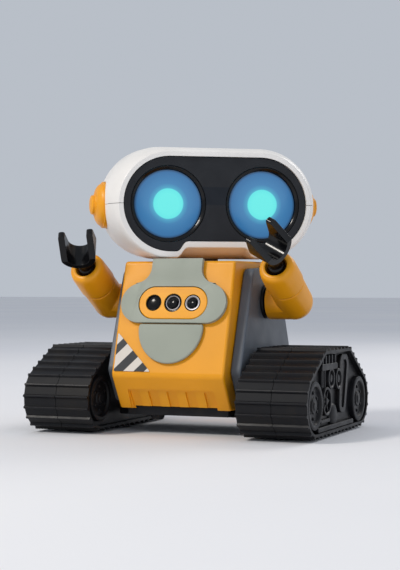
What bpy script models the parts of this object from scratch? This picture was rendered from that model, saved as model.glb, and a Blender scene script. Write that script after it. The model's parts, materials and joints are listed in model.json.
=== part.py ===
"""Two wheel toy robot car: goggle head, raised arms with claws, and two track pods.

Sizes in this file are millimetres; the mesh helpers turn them into Blender's metres.
The robot looks towards -Y, +Z is up, and its left side is +X. The origin lies on the
ground, in the middle between the track pods.
"""
import math

import bmesh
import bpy
from mathutils import Matrix, Vector

MM = 0.001
GAP = 0.3

# Body: side profile corners as (y, z, corner radius), the same over the whole width.
BODY_HALF_WIDTH = 36.0
BODY_WALL = 2.4
BODY_ROOM_FOOT = 8.0
BODY_TOP_Z = 104.0
BODY_TOP_FRONT = (-34.0, BODY_TOP_Z, 2.5)
BODY_CHIN = (-54.0, 36.0, 5.0)
BODY_SKIRT = (-41.0, 15.5, 1.5)
BODY_HEEL = (44.0, 15.5, 4.0)
BODY_BACK = (50.0, 58.0, 12.0)
BODY_TOP_REAR = (28.0, BODY_TOP_Z, 6.0)
BODY_PROFILE = (BODY_TOP_FRONT, BODY_CHIN, BODY_SKIRT, BODY_HEEL, BODY_BACK, BODY_TOP_REAR)

# Side panels: slabs outside the body's side walls.
PANEL_OUTLINE = (
    (-21.5, 99.4, 6.0), (-44.5, 38.5, 5.0), (-33.0, 19.0, 4.0),
    (38.0, 19.0, 5.0), (46.0, 50.0, 12.0), (23.0, 101.0, 8.0),
)
PANEL_THICKNESS = 6.7
PANEL_WALL = 2.2

# Chest: the front wall's own plane, whose origin lies at the lens height.
CHEST_Z = 78.3
CHEST_HALF_WIDTH = 33.8
CHEST_RADIUS = 12.2
CHEST_THICKNESS = 2.8
NECK_PLATE_HALF_WIDTH = 16.2
NECK_PLATE_TOP = 27.6
NECK_FLARE_RADIUS = 9.6
TONGUE_HALF_WIDTH = 20.6
TONGUE_TOP = -12.6
TONGUE_SHOULDER = -15.0
TONGUE_BOTTOM = -36.9
TONGUE_THICKNESS = 2.1
BEZEL_HALF_WIDTH = 22.0
BEZEL_RADIUS = 9.9
LENS_SPACING = 12.5
LENS_RADII = (4.8, 5.4, 4.9)
RING_OUTER = (None, 4.45, 4.55)
RING_INNER = (None, 3.85, 3.45)
LENS_NAMES = ("right", "middle", "left")

# Skirt slots.
SLOT_PITCH = 12.0
SLOT_COUNT = 5
SLOT_WIDTH = 6.3
SLOT_RECESS_HALF_WIDTH = 29.0

# Head: sections as (y, half width, half height, centre z, notch depth), front to back.
HEAD_YAW = math.radians(35.0)
NECK_Y = 7.5
EYE_Z = 138.8
HEAD_WALL = 2.3
HEAD_SECTIONS = (
    (-29.7, 59.6, 31.4, -0.3, 5.6),
    (-28.7, 60.7, 32.4, -0.3, 5.9),
    (-25.5, 62.6, 33.2, 0.2, 4.6),
    (-19.0, 64.6, 34.0, 0.9, 1.6),
    (-10.0, 65.9, 34.5, 1.4, 0.0),
    (4.0, 66.2, 34.6, 1.8, 0.0),
    (17.0, 64.2, 33.0, 1.7, 0.0),
    (27.0, 59.5, 29.0, 1.3, 0.0),
    (32.5, 53.0, 23.0, 1.0, 0.0),
    (34.5, 46.0, 16.5, 1.0, 0.0),
)
NOTCH_INNER = 17.5
NOTCH_OUTER = 24.5
VISOR_HALF_WIDTH = 56.9
VISOR_HALF_HEIGHT = 28.6
VISOR_NOTCH = 6.1
VISOR_FRONT_Y = -28.4
VISOR_THICKNESS = 2.0
EYE_X = 29.4
EYE_RADIUS = 20.6
EYE_RING_RADIUS = 23.0
EAR_Y = 2.0
EAR_Z = 0.4
EAR_RADIUS = 14.3
NECK_SHAFT_RADIUS = 6.5

# Arms: an elbow on the shoulder axis, then a forearm that points forward and up.
SHOULDER_Y = -1.0
SHOULDER_Z = 79.7
SHOULDER_HUB_RADIUS = 10.5
ARM_X = 61.8
ARM_RAISE = math.radians(31.0)
ARM_RADIUS = 10.9
ELBOW_RADIUS = 11.2
SHAFT_RADIUS = 4.0
CUFF_START = 20.3
CUFF_END = 41.5
CUFF_SOCKET_DEPTH = 9.5
CUFF_SOCKET_RADIUS = 6.5
CUFF_PIN_RADIUS = 4.0
CUFF_PIN_LENGTH = 6.0
CLAW_BACK = 50.3
CLAW_TIP = 70.0
CLAW_HALF_SPAN = 10.7
CLAW_HALF_DEPTH = 7.3
CLAW_FINGER = 4.3
CLAW_TIP_DEPTH = -4.0
CLAW_SLANT_START = 59.0
CLAW_TWIST = {1: math.radians(60.0), -1: math.radians(12.0)}
CLAW_LEAN = math.radians(8.5)
CLAW_BALL = 38.2
CLAW_BALL_RADIUS = 5.5

# Track pods: belt outline corners as (y, z, corner radius), at the tips of the ridges.
POD_INNER_X = 46.7
POD_OUTER_X = 89.7
POD_SEAM_X = 68.2
POD_OUTLINE = (
    (-27.5, 52.5, 7.0), (-64.9, 33.0, 19.6), (-64.9, 1.2, 19.6),
    (64.7, 1.2, 17.5), (64.7, 29.0, 17.5), (24.0, 52.5, 7.0),
)
RIDGE_COUNT = 42
RIDGE_HEIGHT = 1.4
RIDGE_HALF = 1.3
POD_WALL = 2.6
FACE_RECESS = 1.6
WHEEL_Y = 25.0
WHEEL_RADIUS = 17.0
WHEEL_X = (75.0, 85.0)
GEAR_X = (70.5, 74.0)
GEAR_RADIUS = 11.4
PINION_RADIUS = 4.2
GEAR_TEETH = 18
PINION_TEETH = 6
IDLER_Y = -32.0
IDLER_RADIUS = 12.0
AXLE_RADIUS = 1.5
MOTOR_RADIUS = 8.0
MOTOR_ANGLE = math.radians(150.0)

YELLOW = (0.83, 0.37, 0.04, 1)
GREY = (0.20, 0.21, 0.20, 1)
CHEST_GREY = (0.36, 0.37, 0.29, 1)
WHITE = (0.80, 0.79, 0.76, 1)
BLACK = (0.012, 0.012, 0.013, 1)
GLOSS_BLACK = (0.006, 0.006, 0.008, 1)
BLUE = (0.05, 0.19, 0.42, 1)
SILVER = (0.62, 0.60, 0.60, 1)
CREAM = (0.70, 0.66, 0.58, 1)
GREEN = (0.02, 0.16, 0.06, 1)
RUBBER = (0.02, 0.02, 0.02, 1)
STEEL = (0.55, 0.56, 0.58, 1)
IVORY = (0.75, 0.72, 0.62, 1)

X_AXIS = Vector((1, 0, 0))
Y_AXIS = Vector((0, 1, 0))
Z_AXIS = Vector((0, 0, 1))


# ---------------------------------------------------------------- scene and materials

def clear_scene():
    for obj in list(bpy.data.objects):
        bpy.data.objects.remove(obj)


def new_collection(name):
    collection = bpy.data.collections.new(name)
    bpy.context.scene.collection.children.link(collection)
    return collection


def material(name, colour, roughness, metallic=0.0):
    made = bpy.data.materials.get(name)
    if made is None:
        made = bpy.data.materials.new(name)
        made.use_nodes = True
        shader = made.node_tree.nodes["Principled BSDF"]
        shader.inputs["Base Color"].default_value = colour
        shader.inputs["Roughness"].default_value = roughness
        shader.inputs["Metallic"].default_value = metallic
    return made


# ---------------------------------------------------------------- mesh helpers

def add_object(name, mesh):
    obj = bpy.data.objects.new(name, mesh)
    PARTS.objects.link(obj)
    return obj


def from_bmesh(name, bm):
    bmesh.ops.recalc_face_normals(bm, faces=bm.faces)
    mesh = bpy.data.meshes.new(name)
    bm.to_mesh(mesh)
    bm.free()
    return add_object(name, mesh)


def smooth(obj, angle=35.0):
    obj.data.shade_smooth()
    obj.data.set_sharp_from_angle(angle=math.radians(angle))


def finish(obj, look, parent=None, soften=True):
    """Give a finished piece its material and hang it on its joint's empty."""
    obj.data.materials.append(material(*look))
    if soften:
        smooth(obj)
    if parent is not None:
        obj.parent = parent
        obj.matrix_parent_inverse = parent.matrix_world.inverted()
    return obj


def as_cutter(obj):
    PARTS.objects.unlink(obj)
    CUTTERS.objects.link(obj)
    obj.hide_render = True
    obj.display_type = "WIRE"
    return obj


def combine(obj, tool, operation):
    modifier = obj.modifiers.new(operation.title(), "BOOLEAN")
    modifier.operation = operation
    modifier.solver = "MANIFOLD"
    modifier.object = as_cutter(tool)
    return obj


def cut(obj, *tools):
    for tool in tools:
        combine(obj, tool, "DIFFERENCE")
    return obj


def weld(obj, *tools):
    for tool in tools:
        combine(obj, tool, "UNION")
    return obj


def bevel(obj, width, segments=1, angle=50.0):
    modifier = obj.modifiers.new("Edges", "BEVEL")
    modifier.width = width * MM
    modifier.segments = segments
    modifier.limit_method = "ANGLE"
    modifier.angle_limit = math.radians(angle)
    modifier.use_clamp_overlap = True
    return obj


def frame(origin, x_axis, y_axis):
    """Matrix of a local frame, in millimetres, from its origin and first two axes."""
    x_axis = Vector(x_axis).normalized()
    z_axis = x_axis.cross(Vector(y_axis)).normalized()
    y_axis = z_axis.cross(x_axis)
    rotation = Matrix((x_axis, y_axis, z_axis)).transposed().to_4x4()
    return Matrix.Translation(Vector(origin)) @ rotation


def place(bm, matrix):
    """Move millimetre points through a frame and into metres."""
    bmesh.ops.transform(bm, matrix=Matrix.Scale(MM, 4) @ matrix, verts=bm.verts)


def box(name, size, centre, matrix=Matrix()):
    bm = bmesh.new()
    bmesh.ops.create_cube(bm, size=1.0)
    bmesh.ops.scale(bm, vec=Vector(size), verts=bm.verts)
    bmesh.ops.translate(bm, vec=Vector(centre), verts=bm.verts)
    place(bm, matrix)
    return from_bmesh(name, bm)


def cylinder(name, radius, start, end, segments=16, end_radius=None):
    start = Vector(start)
    end = Vector(end)
    bm = bmesh.new()
    bmesh.ops.create_cone(
        bm, cap_ends=True, segments=segments, radius1=radius,
        radius2=radius if end_radius is None else end_radius, depth=(end - start).length)
    turn = Z_AXIS.rotation_difference(end - start).to_matrix().to_4x4()
    place(bm, Matrix.Translation((start + end) / 2) @ turn)
    return from_bmesh(name, bm)


def ball(name, radius, centre, segments=16):
    bm = bmesh.new()
    bmesh.ops.create_uvsphere(bm, u_segments=segments, v_segments=segments // 2, radius=radius)
    place(bm, Matrix.Translation(Vector(centre)))
    return from_bmesh(name, bm)


def prism(name, outline, low, high, matrix):
    """A flat outline in a frame's XY plane, made solid from low to high along its Z."""
    curve = bpy.data.curves.new(name, "CURVE")
    curve.dimensions = "2D"
    curve.fill_mode = "BOTH"
    curve.extrude = (high - low) / 2
    spline = curve.splines.new("POLY")
    spline.points.add(len(outline) - 1)
    spline.use_cyclic_u = True
    for point, (u, v) in zip(spline.points, outline):
        point.co = (u, v, 0, 1)
    flat = bpy.data.objects.new(name, curve)
    bpy.context.scene.collection.objects.link(flat)
    graph = bpy.context.evaluated_depsgraph_get()
    mesh = bpy.data.meshes.new_from_object(flat.evaluated_get(graph))
    bpy.data.objects.remove(flat)
    bpy.data.curves.remove(curve)
    bm = bmesh.new()
    bm.from_mesh(mesh)
    bpy.data.meshes.remove(mesh)
    bmesh.ops.remove_doubles(bm, verts=bm.verts, dist=0.01)
    bmesh.ops.dissolve_limit(bm, angle_limit=math.radians(0.5), verts=bm.verts, edges=bm.edges)
    place(bm, matrix @ Matrix.Translation((0, 0, (low + high) / 2)))
    return from_bmesh(name, bm)


def turned(name, profile, matrix, steps=16):
    """A closed turned solid: profile points are (radius, height) along the frame's Z."""
    bm = bmesh.new()
    verts = [bm.verts.new((radius, 0, height)) for radius, height in profile]
    for first, second in zip(verts, verts[1:]):
        bm.edges.new((first, second))
    if profile[0][0] > 0:
        bm.edges.new((verts[-1], verts[0]))
    mesh = bpy.data.meshes.new(name)
    bmesh.ops.scale(bm, vec=Vector((MM, MM, MM)), verts=bm.verts)
    bm.to_mesh(mesh)
    bm.free()
    obj = add_object(name, mesh)
    screw = obj.modifiers.new("Turn", "SCREW")
    screw.axis = "Z"
    screw.angle = math.tau
    screw.steps = steps
    screw.render_steps = steps
    screw.use_merge_vertices = True
    screw.merge_threshold = 0.00001
    obj.matrix_world = Matrix.Translation(matrix.to_translation() * MM) @ matrix.to_3x3().to_4x4()
    return obj


# ---------------------------------------------------------------- outlines

def arc(centre, radius, start, end, steps):
    """Points on an arc, both ends included, angles in degrees."""
    points = []
    for step in range(steps + 1):
        angle = math.radians(start + (end - start) * step / steps)
        points.append((centre[0] + radius * math.cos(angle), centre[1] + radius * math.sin(angle)))
    return points


def rounded(corners, degrees_per_step=30.0):
    """A closed outline from (u, v, radius) corners, with an arc in place of each corner."""
    points = []
    for index, (u, v, radius) in enumerate(corners):
        here = Vector((u, v))
        before = Vector(corners[index - 1][:2]) - here
        after = Vector(corners[(index + 1) % len(corners)][:2]) - here
        turn = math.pi - before.angle(after)
        if radius <= 0 or turn < 1e-4:
            points.append((u, v))
            continue
        before.normalize()
        after.normalize()
        centre = here + (before + after).normalized() * (radius / math.cos(turn / 2))
        first = here + before * radius * math.tan(turn / 2) - centre
        last = here + after * radius * math.tan(turn / 2) - centre
        sweep = first.angle_signed(last)
        steps = max(1, round(math.degrees(turn) / degrees_per_step))
        for step in range(steps + 1):
            angle = -sweep * step / steps
            cos, sin = math.cos(angle), math.sin(angle)
            points.append((centre.x + first.x * cos - first.y * sin,
                           centre.y + first.x * sin + first.y * cos))
    return points


def inset(corners, distance):
    """Move a convex outline of (u, v, radius) corners inwards by a distance."""
    centre = sum((Vector(corner[:2]) for corner in corners), Vector((0, 0))) / len(corners)
    moved = []
    for index, (u, v, radius) in enumerate(corners):
        here = Vector((u, v))
        lines = []
        for other in (corners[index - 1], corners[(index + 1) % len(corners)]):
            along = (Vector(other[:2]) - here).normalized()
            normal = Vector((-along.y, along.x))
            if normal.dot(centre - here) < 0:
                normal.negate()
            lines.append(normal)
        bisector = (lines[0] + lines[1]).normalized()
        here += bisector * (distance / bisector.dot(lines[0]))
        moved.append((here.x, here.y, max(radius - distance, 0.3)))
    return moved


def pill(half_width, radius, steps=6):
    span = half_width - radius
    return arc((span, 0), radius, -90, 90, steps) + arc((-span, 0), radius, 90, 270, steps)


def side_frame(x=0.0):
    """Frame whose XY plane is the robot's YZ plane, at a given x, and whose Z is +X."""
    return frame((x, 0, 0), Y_AXIS, Z_AXIS)


def side_prism(name, outline, side, near, far):
    """A prism of a YZ outline between two distances from the middle, on one side."""
    low, high = sorted((side * near, side * far))
    return prism(name, outline, low, high, side_frame())


# ---------------------------------------------------------------- looks

PLASTIC_YELLOW = ("yellow_plastic", YELLOW, 0.42)
PLASTIC_GREY = ("grey_plastic", GREY, 0.5)
PLASTIC_CHEST = ("chest_grey_plastic", CHEST_GREY, 0.55)
PLASTIC_WHITE = ("white_plastic", WHITE, 0.4)
PLASTIC_BLACK = ("black_plastic", BLACK, 0.5)
PLASTIC_GLOSS = ("gloss_black_plastic", GLOSS_BLACK, 0.12)
LENS_BLUE = ("eye_lens", BLUE, 0.2)
RING_SILVER = ("silver_ring", SILVER, 0.3, 0.8)
STICKER = ("decal_film", CREAM, 0.5)
BOARD = ("board_green", GREEN, 0.45)
TYRE = ("tyre_rubber", RUBBER, 0.8)
METAL = ("steel", STEEL, 0.3, 1.0)
GEAR_PLASTIC = ("gear_plastic", IVORY, 0.5)


# ---------------------------------------------------------------- body

def lerp(first, second, share):
    return first + (second - first) * share


def wall_frame(low, high, z, outwards):
    """Frame on a wall whose foot and head are (y, z): Y runs up it, Z points outwards."""
    y = lerp(low[0], high[0], (z - low[1]) / (high[1] - low[1]))
    up = Vector((0, high[0] - low[0], high[1] - low[1]))
    return frame((0, y, z), X_AXIS * -outwards, up)


def chest_frame():
    return wall_frame(BODY_CHIN, BODY_TOP_FRONT, CHEST_Z, -1)


def body_block(name, keep_front):
    """The body's hollow shell, as its front half or its rear half."""
    block = prism(name, rounded(BODY_PROFILE), -BODY_HALF_WIDTH, BODY_HALF_WIDTH, side_frame())
    bevel(block, 1.6)
    hollow = [list(corner) for corner in inset(BODY_PROFILE, BODY_WALL)]
    for corner, above in ((hollow[2], hollow[1]), (hollow[3], hollow[4])):
        slope = (corner[0] - above[0]) / (corner[1] - above[1])
        corner[0] += slope * (BODY_ROOM_FOOT - corner[1])
        corner[1] = BODY_ROOM_FOOT
    room = prism(name + "_room", rounded(hollow), -BODY_HALF_WIDTH + BODY_WALL,
                 BODY_HALF_WIDTH - BODY_WALL, side_frame())
    reach = 200.0
    y = NECK_Y + (reach / 2 - GAP / 2) * (1 if keep_front else -1)
    other_half = box(name + "_half", (reach, reach, reach), (0, y, 60))
    neck_hole = cylinder(name + "_neck_hole", NECK_SHAFT_RADIUS + GAP, (0, NECK_Y, 95),
                         (0, NECK_Y, 110))
    shaft_hole = cylinder(name + "_shaft_hole", SHAFT_RADIUS + GAP,
                          (-40, SHOULDER_Y, SHOULDER_Z), (40, SHOULDER_Y, SHOULDER_Z))
    cut(block, room, other_half, neck_hole)
    if keep_front:
        cut(block, shaft_hole)
    else:
        bpy.data.objects.remove(shaft_hole)
    return block


def front_shell():
    shell = body_block("front_shell", True)
    skirt = wall_frame(BODY_SKIRT, BODY_CHIN, 22.0, -1)
    recess_outline = rounded((
        (-SLOT_RECESS_HALF_WIDTH, -12, 0.5), (SLOT_RECESS_HALF_WIDTH, -12, 0.5),
        (SLOT_RECESS_HALF_WIDTH - 1.5, 6.6, 1.5), (-SLOT_RECESS_HALF_WIDTH + 1.5, 6.6, 1.5)))
    cut(shell, prism("skirt_recess", recess_outline, -0.8, 3, skirt))
    for index in range(SLOT_COUNT):
        x = (index - (SLOT_COUNT - 1) / 2) * SLOT_PITCH
        outline = rounded(((x - SLOT_WIDTH / 2, -12, 0.3), (x + SLOT_WIDTH / 2, -12, 0.3),
                           (x + SLOT_WIDTH / 2, 4.8, 1.0), (x - SLOT_WIDTH / 2, 4.8, 1.0)))
        cut(shell, prism(f"skirt_slot_{index + 1}", outline, -1.7, 3, skirt))
    foot_clearance = box("skirt_foot", (2 * 26.5, 30, 4), (0, -40, 15.0))
    cut(shell, foot_clearance)
    return finish(shell, PLASTIC_YELLOW)


def rear_cover():
    cover = body_block("rear_cover", False)
    lower = wall_frame(BODY_HEEL, BODY_BACK, 36.0, 1)
    upper = wall_frame(BODY_BACK, BODY_TOP_REAR, 82.0, 1)
    cut(cover, box("door_window", (40 + 2 * GAP, 26 + 2 * GAP, 12), (0, 0, 0), lower))
    for index in range(5):
        slot = box(f"speaker_slot_{index + 1}", (14, 1.4, 12), (0, (index - 2) * 3.2, 0), upper)
        cut(cover, slot)
    cut(cover, box("switch_window", (9, 5, 12), (-21, 0, 0), upper))
    socket_hole = cylinder("socket_hole", 3.6, upper @ Vector((21, 0, -6)),
                           upper @ Vector((21, 0, 6)), 12)
    cut(cover, socket_hole)
    return finish(cover, PLASTIC_YELLOW)


def battery_door():
    lower = wall_frame(BODY_HEEL, BODY_BACK, 36.0, 1)
    door = box("battery_door", (40, 26, 2.0), (0, 0, -1.2), lower)
    bevel(door, 0.5)
    hole = cylinder("door_screw_hole", 2.3, lower @ Vector((0, 9, -4)),
                    lower @ Vector((0, 9, 4)), 12)
    grip = prism("door_grip", pill(7, 1.2, 6), -0.9, 2, lower @ Matrix.Translation((0, -9, 0)))
    return finish(cut(door, hole, grip), PLASTIC_YELLOW)


def battery_door_screw():
    lower = wall_frame(BODY_HEEL, BODY_BACK, 36.0, 1)
    profile = ((0, -0.7), (1.5, -0.7), (2.0, -1.2), (2.0, -2.0), (1.1, -2.4), (1.1, -7), (0, -8))
    at = lower @ Matrix.Translation((0, 9, 0))
    screw = turned("battery_door_screw", profile, at, 12)
    slot = box("screw_slot", (2.6, 0.6, 1.2), (0, 9, -0.8), lower)
    return finish(cut(screw, slot), METAL)


def side_panel(side, name):
    panel = side_prism(name, rounded(PANEL_OUTLINE), side, BODY_HALF_WIDTH + GAP,
                       BODY_HALF_WIDTH + GAP + PANEL_THICKNESS)
    bevel(panel, 1.2)
    pocket = side_prism(name + "_pocket", rounded(inset(PANEL_OUTLINE, PANEL_WALL)), side,
                        BODY_HALF_WIDTH - 1, BODY_HALF_WIDTH + GAP + PANEL_THICKNESS - PANEL_WALL)
    boss = cylinder(name + "_boss", SHAFT_RADIUS + 3, (side * 36.6, SHOULDER_Y, SHOULDER_Z),
                    (side * 42, SHOULDER_Y, SHOULDER_Z))
    bore = cylinder(name + "_bore", SHAFT_RADIUS + GAP, (side * 30, SHOULDER_Y, SHOULDER_Z),
                    (side * 50, SHOULDER_Y, SHOULDER_Z))
    return finish(cut(weld(cut(panel, pocket), boss), bore), PLASTIC_GREY)


def shoulder_hub(side, name):
    start = BODY_HALF_WIDTH + PANEL_THICKNESS + 2 * GAP
    at = frame((side * start, SHOULDER_Y, SHOULDER_Z), Y_AXIS, Z_AXIS * side)
    profile = ((SHAFT_RADIUS + GAP, 2.3), (8.6, 2.3), (9.2, 1.7), (SHOULDER_HUB_RADIUS - 0.5, 1.7),
               (SHOULDER_HUB_RADIUS, 1.2), (SHOULDER_HUB_RADIUS, 0), (SHAFT_RADIUS + GAP, 0))
    return finish(turned(name, profile, at), PLASTIC_BLACK)


def chest_plate():
    flare_x = NECK_PLATE_HALF_WIDTH + NECK_FLARE_RADIUS
    flare_v = CHEST_RADIUS + NECK_FLARE_RADIUS
    span = CHEST_HALF_WIDTH - CHEST_RADIUS
    outline = arc((span, 0), CHEST_RADIUS, -90, 78, 8)
    outline += arc((flare_x, flare_v), NECK_FLARE_RADIUS, 270, 180, 4)
    outline += [(NECK_PLATE_HALF_WIDTH, NECK_PLATE_TOP), (-NECK_PLATE_HALF_WIDTH, NECK_PLATE_TOP)]
    outline += arc((-flare_x, flare_v), NECK_FLARE_RADIUS, 0, -90, 4)
    outline += arc((-span, 0), CHEST_RADIUS, 102, 270, 8)
    at = chest_frame()
    plate = prism("chest_plate", outline, GAP, GAP + CHEST_THICKNESS, at)
    bevel(plate, 0.7)
    window = prism("bezel_window", pill(BEZEL_HALF_WIDTH + GAP, BEZEL_RADIUS + GAP),
                   -2, CHEST_THICKNESS + 2, at)
    return finish(cut(plate, window), PLASTIC_CHEST)


def chest_tongue():
    at = chest_frame()
    depth = TONGUE_SHOULDER - TONGUE_BOTTOM
    outline = [(TONGUE_HALF_WIDTH - 0.5, TONGUE_TOP - GAP),
               (-TONGUE_HALF_WIDTH + 0.5, TONGUE_TOP - GAP)]
    steps = 12
    for step in range(steps + 1):
        angle = math.pi + math.pi * step / steps
        outline.append((TONGUE_HALF_WIDTH * math.cos(angle), TONGUE_SHOULDER + depth * math.sin(angle)))
    tongue = prism("chest_tongue", outline, GAP, GAP + TONGUE_THICKNESS, at)
    bevel(tongue, 0.5)
    return finish(tongue, PLASTIC_CHEST)


def sensor_bezel():
    at = chest_frame()
    bezel = prism("sensor_bezel", pill(BEZEL_HALF_WIDTH, BEZEL_RADIUS), GAP, GAP + 2.6, at)
    bevel(bezel, 0.5)
    for index, radius in enumerate(LENS_RADII):
        x = (index - 1) * LENS_SPACING
        hole = cylinder(f"lens_hole_{index + 1}", radius + GAP, at @ Vector((x, 0, -2)),
                        at @ Vector((x, 0, 6)))
        cut(bezel, hole)
    return finish(bezel, PLASTIC_YELLOW)


def sensor_lens(index):
    """A lens barrel; the two with a silver ring have a groove that the ring sits in."""
    radius = LENS_RADII[index]
    at = chest_frame() @ Matrix.Translation(((index - 1) * LENS_SPACING, 0, GAP))
    if RING_OUTER[index] is None:
        profile = ((0, 2.6), (radius * 0.55, 2.45), (radius * 0.8, 2.1), (radius * 0.86, 1.9),
                   (radius * 0.92, 2.4), (radius - 0.15, 2.4), (radius, 2.2), (radius, 0), (0, 0))
    else:
        groove_in = RING_INNER[index] - GAP
        groove_out = RING_OUTER[index] + GAP
        profile = ((0, 1.9), (groove_in * 0.6, 1.8), (groove_in, 1.4), (groove_in, 1.0),
                   (groove_out, 1.0), (groove_out, 2.3), (radius, 2.3), (radius, 0), (0, 0))
    return finish(turned("sensor_lens_" + LENS_NAMES[index], profile, at), PLASTIC_GLOSS)


def sensor_ring(index):
    at = chest_frame() @ Matrix.Translation(((index - 1) * LENS_SPACING, 0, GAP))
    low, high = 1.0 + GAP, 2.4
    profile = ((RING_INNER[index], high - 0.3), (RING_INNER[index] + 0.2, high),
               (RING_OUTER[index], high), (RING_OUTER[index], low), (RING_INNER[index], low))
    return finish(turned("sensor_ring_" + LENS_NAMES[index], profile, at), RING_SILVER)


def hazard_decal():
    """The striped film: a right triangle in the front wall's lower right corner."""
    at = chest_frame()
    left = -BODY_HALF_WIDTH + 1.7
    bottom = (38.3 - CHEST_Z) / at.col[1][2]
    size = 23.6
    outline = rounded(((left, bottom, 0.4), (left + size, bottom, 0.4),
                       (left, bottom + size, 0.4)), 45)
    return finish(prism("hazard_decal", outline, GAP, GAP + 0.3, at), STICKER, soften=False)


def base_chassis():
    tray = box("base_chassis", (66, 76, 5.6), (0, 1, 14.2))
    side_arm = box("chassis_arm", (2 * (POD_INNER_X - GAP), 40, 5.4), (0, 0, 12.5))
    nose = cylinder("chassis_nose", 5.0, (-16, -30, 13.0), (-16, -30, 8.2), 16, 3.5)
    return finish(bevel(weld(tray, side_arm, nose), 0.6), PLASTIC_BLACK)


def inner_works():
    cell = box("battery_pack", (34, 13, 34), (0, 29.5, 38))
    finish(bevel(cell, 2.0), ("battery_wrap", (0.03, 0.12, 0.32, 1), 0.4))
    board = box("circuit_board", (56, 1.6, 46), (0, -22, 62))
    chip = box("board_chip", (10, 2.4, 10), (6, -20.2, 66))
    plug = box("board_plug", (12, 4.5, 5), (-14, -19.5, 46))
    finish(weld(board, chip, plug), BOARD, soften=False)
    upper = wall_frame(BODY_BACK, BODY_TOP_REAR, 82.0, 1)
    profile = ((0, -3.0), (8, -3.0), (11, -2.9), (12, -3.6), (12, -6), (7, -7), (7, -11), (0, -11))
    finish(turned("speaker", profile, upper), PLASTIC_BLACK)
    knob = box("power_switch", (3.4, 3.6, 3.0), (-22.5, 0, -0.6), upper)
    slider = box("switch_slider", (5.4, 4.2, 1.8), (-22.5, 0, -3.6), upper)
    stem = box("switch_stem", (2.6, 2.6, 3), (-22.5, 0, -2.6), upper)
    finish(weld(bevel(knob, 0.4), stem, slider), PLASTIC_BLACK)
    profile = ((1.4, -0.6), (2.9, -0.6), (3.2, -0.9), (3.2, -7), (1.4, -7))
    at = upper @ Matrix.Translation((21, 0, 0))
    finish(turned("charge_socket", profile, at, 12), PLASTIC_BLACK)


# ---------------------------------------------------------------- head

def head_frame():
    turn = Matrix.Rotation(HEAD_YAW, 4, "Z")
    return Matrix.Translation((0, NECK_Y, EYE_Z)) @ turn


def goggle(half_width, half_height, centre_z, notch, arc_steps=8):
    """A goggle outline: round ends, a straight top, and a raised bridge in the bottom."""
    span = half_width - half_height
    low = centre_z - half_height
    outline = arc((span, centre_z), half_height, -90, 90, arc_steps)
    outline += arc((-span, centre_z), half_height, 90, 270, arc_steps)
    outline += [(-NOTCH_OUTER, low), (-NOTCH_OUTER + 1.2, low + notch * 0.12),
                (-NOTCH_INNER - 1.2, low + notch * 0.88), (-NOTCH_INNER, low + notch),
                (NOTCH_INNER, low + notch), (NOTCH_INNER + 1.2, low + notch * 0.88),
                (NOTCH_OUTER - 1.2, low + notch * 0.12), (NOTCH_OUTER, low)]
    return outline


def loft(name, sections, matrix):
    """A closed solid through sections of (y, outline), outlines being (x, z) points."""
    bm = bmesh.new()
    rings = []
    for y, outline in sections:
        rings.append([bm.verts.new((x, y, z)) for x, z in outline])
    for near, far in zip(rings, rings[1:]):
        for index, vert in enumerate(near):
            before = index - 1
            bm.faces.new((near[before], vert, far[index], far[before]))
    bm.faces.new(rings[0])
    bm.faces.new(reversed(rings[-1]))
    place(bm, matrix)
    return from_bmesh(name, bm)


def head_shell(name, keep_top):
    at = head_frame()
    sections = [(y, goggle(width, height, z, notch)) for y, width, height, z, notch in HEAD_SECTIONS]
    shell = loft(name, sections, at)
    rim_gap = GAP
    rim = goggle(VISOR_HALF_WIDTH + rim_gap, VISOR_HALF_HEIGHT + rim_gap, 0, VISOR_NOTCH)
    inside = [(-40.0, rim), (-25.5, rim)]
    for y, width, height, z, notch in HEAD_SECTIONS[3:]:
        narrow = HEAD_WALL + (0.6 if y < -15 else 0.0)
        depth = y if y < 30 else y - HEAD_WALL - 1.2 + (y - 32.5) * 0.4
        inside.append((depth, goggle(width - narrow, height - narrow, z, notch * 1.1)))
    room = loft(name + "_room", inside, at)
    tall = 80.0
    sign = -1 if keep_top else 1
    half = box(name + "_half", (200, 200, tall), (0, 0, sign * (tall / 2 - GAP / 2)), at)
    ear_hole = cylinder(name + "_ear_hole", EAR_RADIUS + GAP, at @ Vector((-90, EAR_Y, EAR_Z)),
                        at @ Vector((90, EAR_Y, EAR_Z)), 16)
    cut(shell, room, half, ear_hole)
    if not keep_top:
        cut(shell, cylinder("head_neck_hole", 8.0 + GAP, (0, NECK_Y, 100), (0, NECK_Y, 115)))
    return shell


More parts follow.
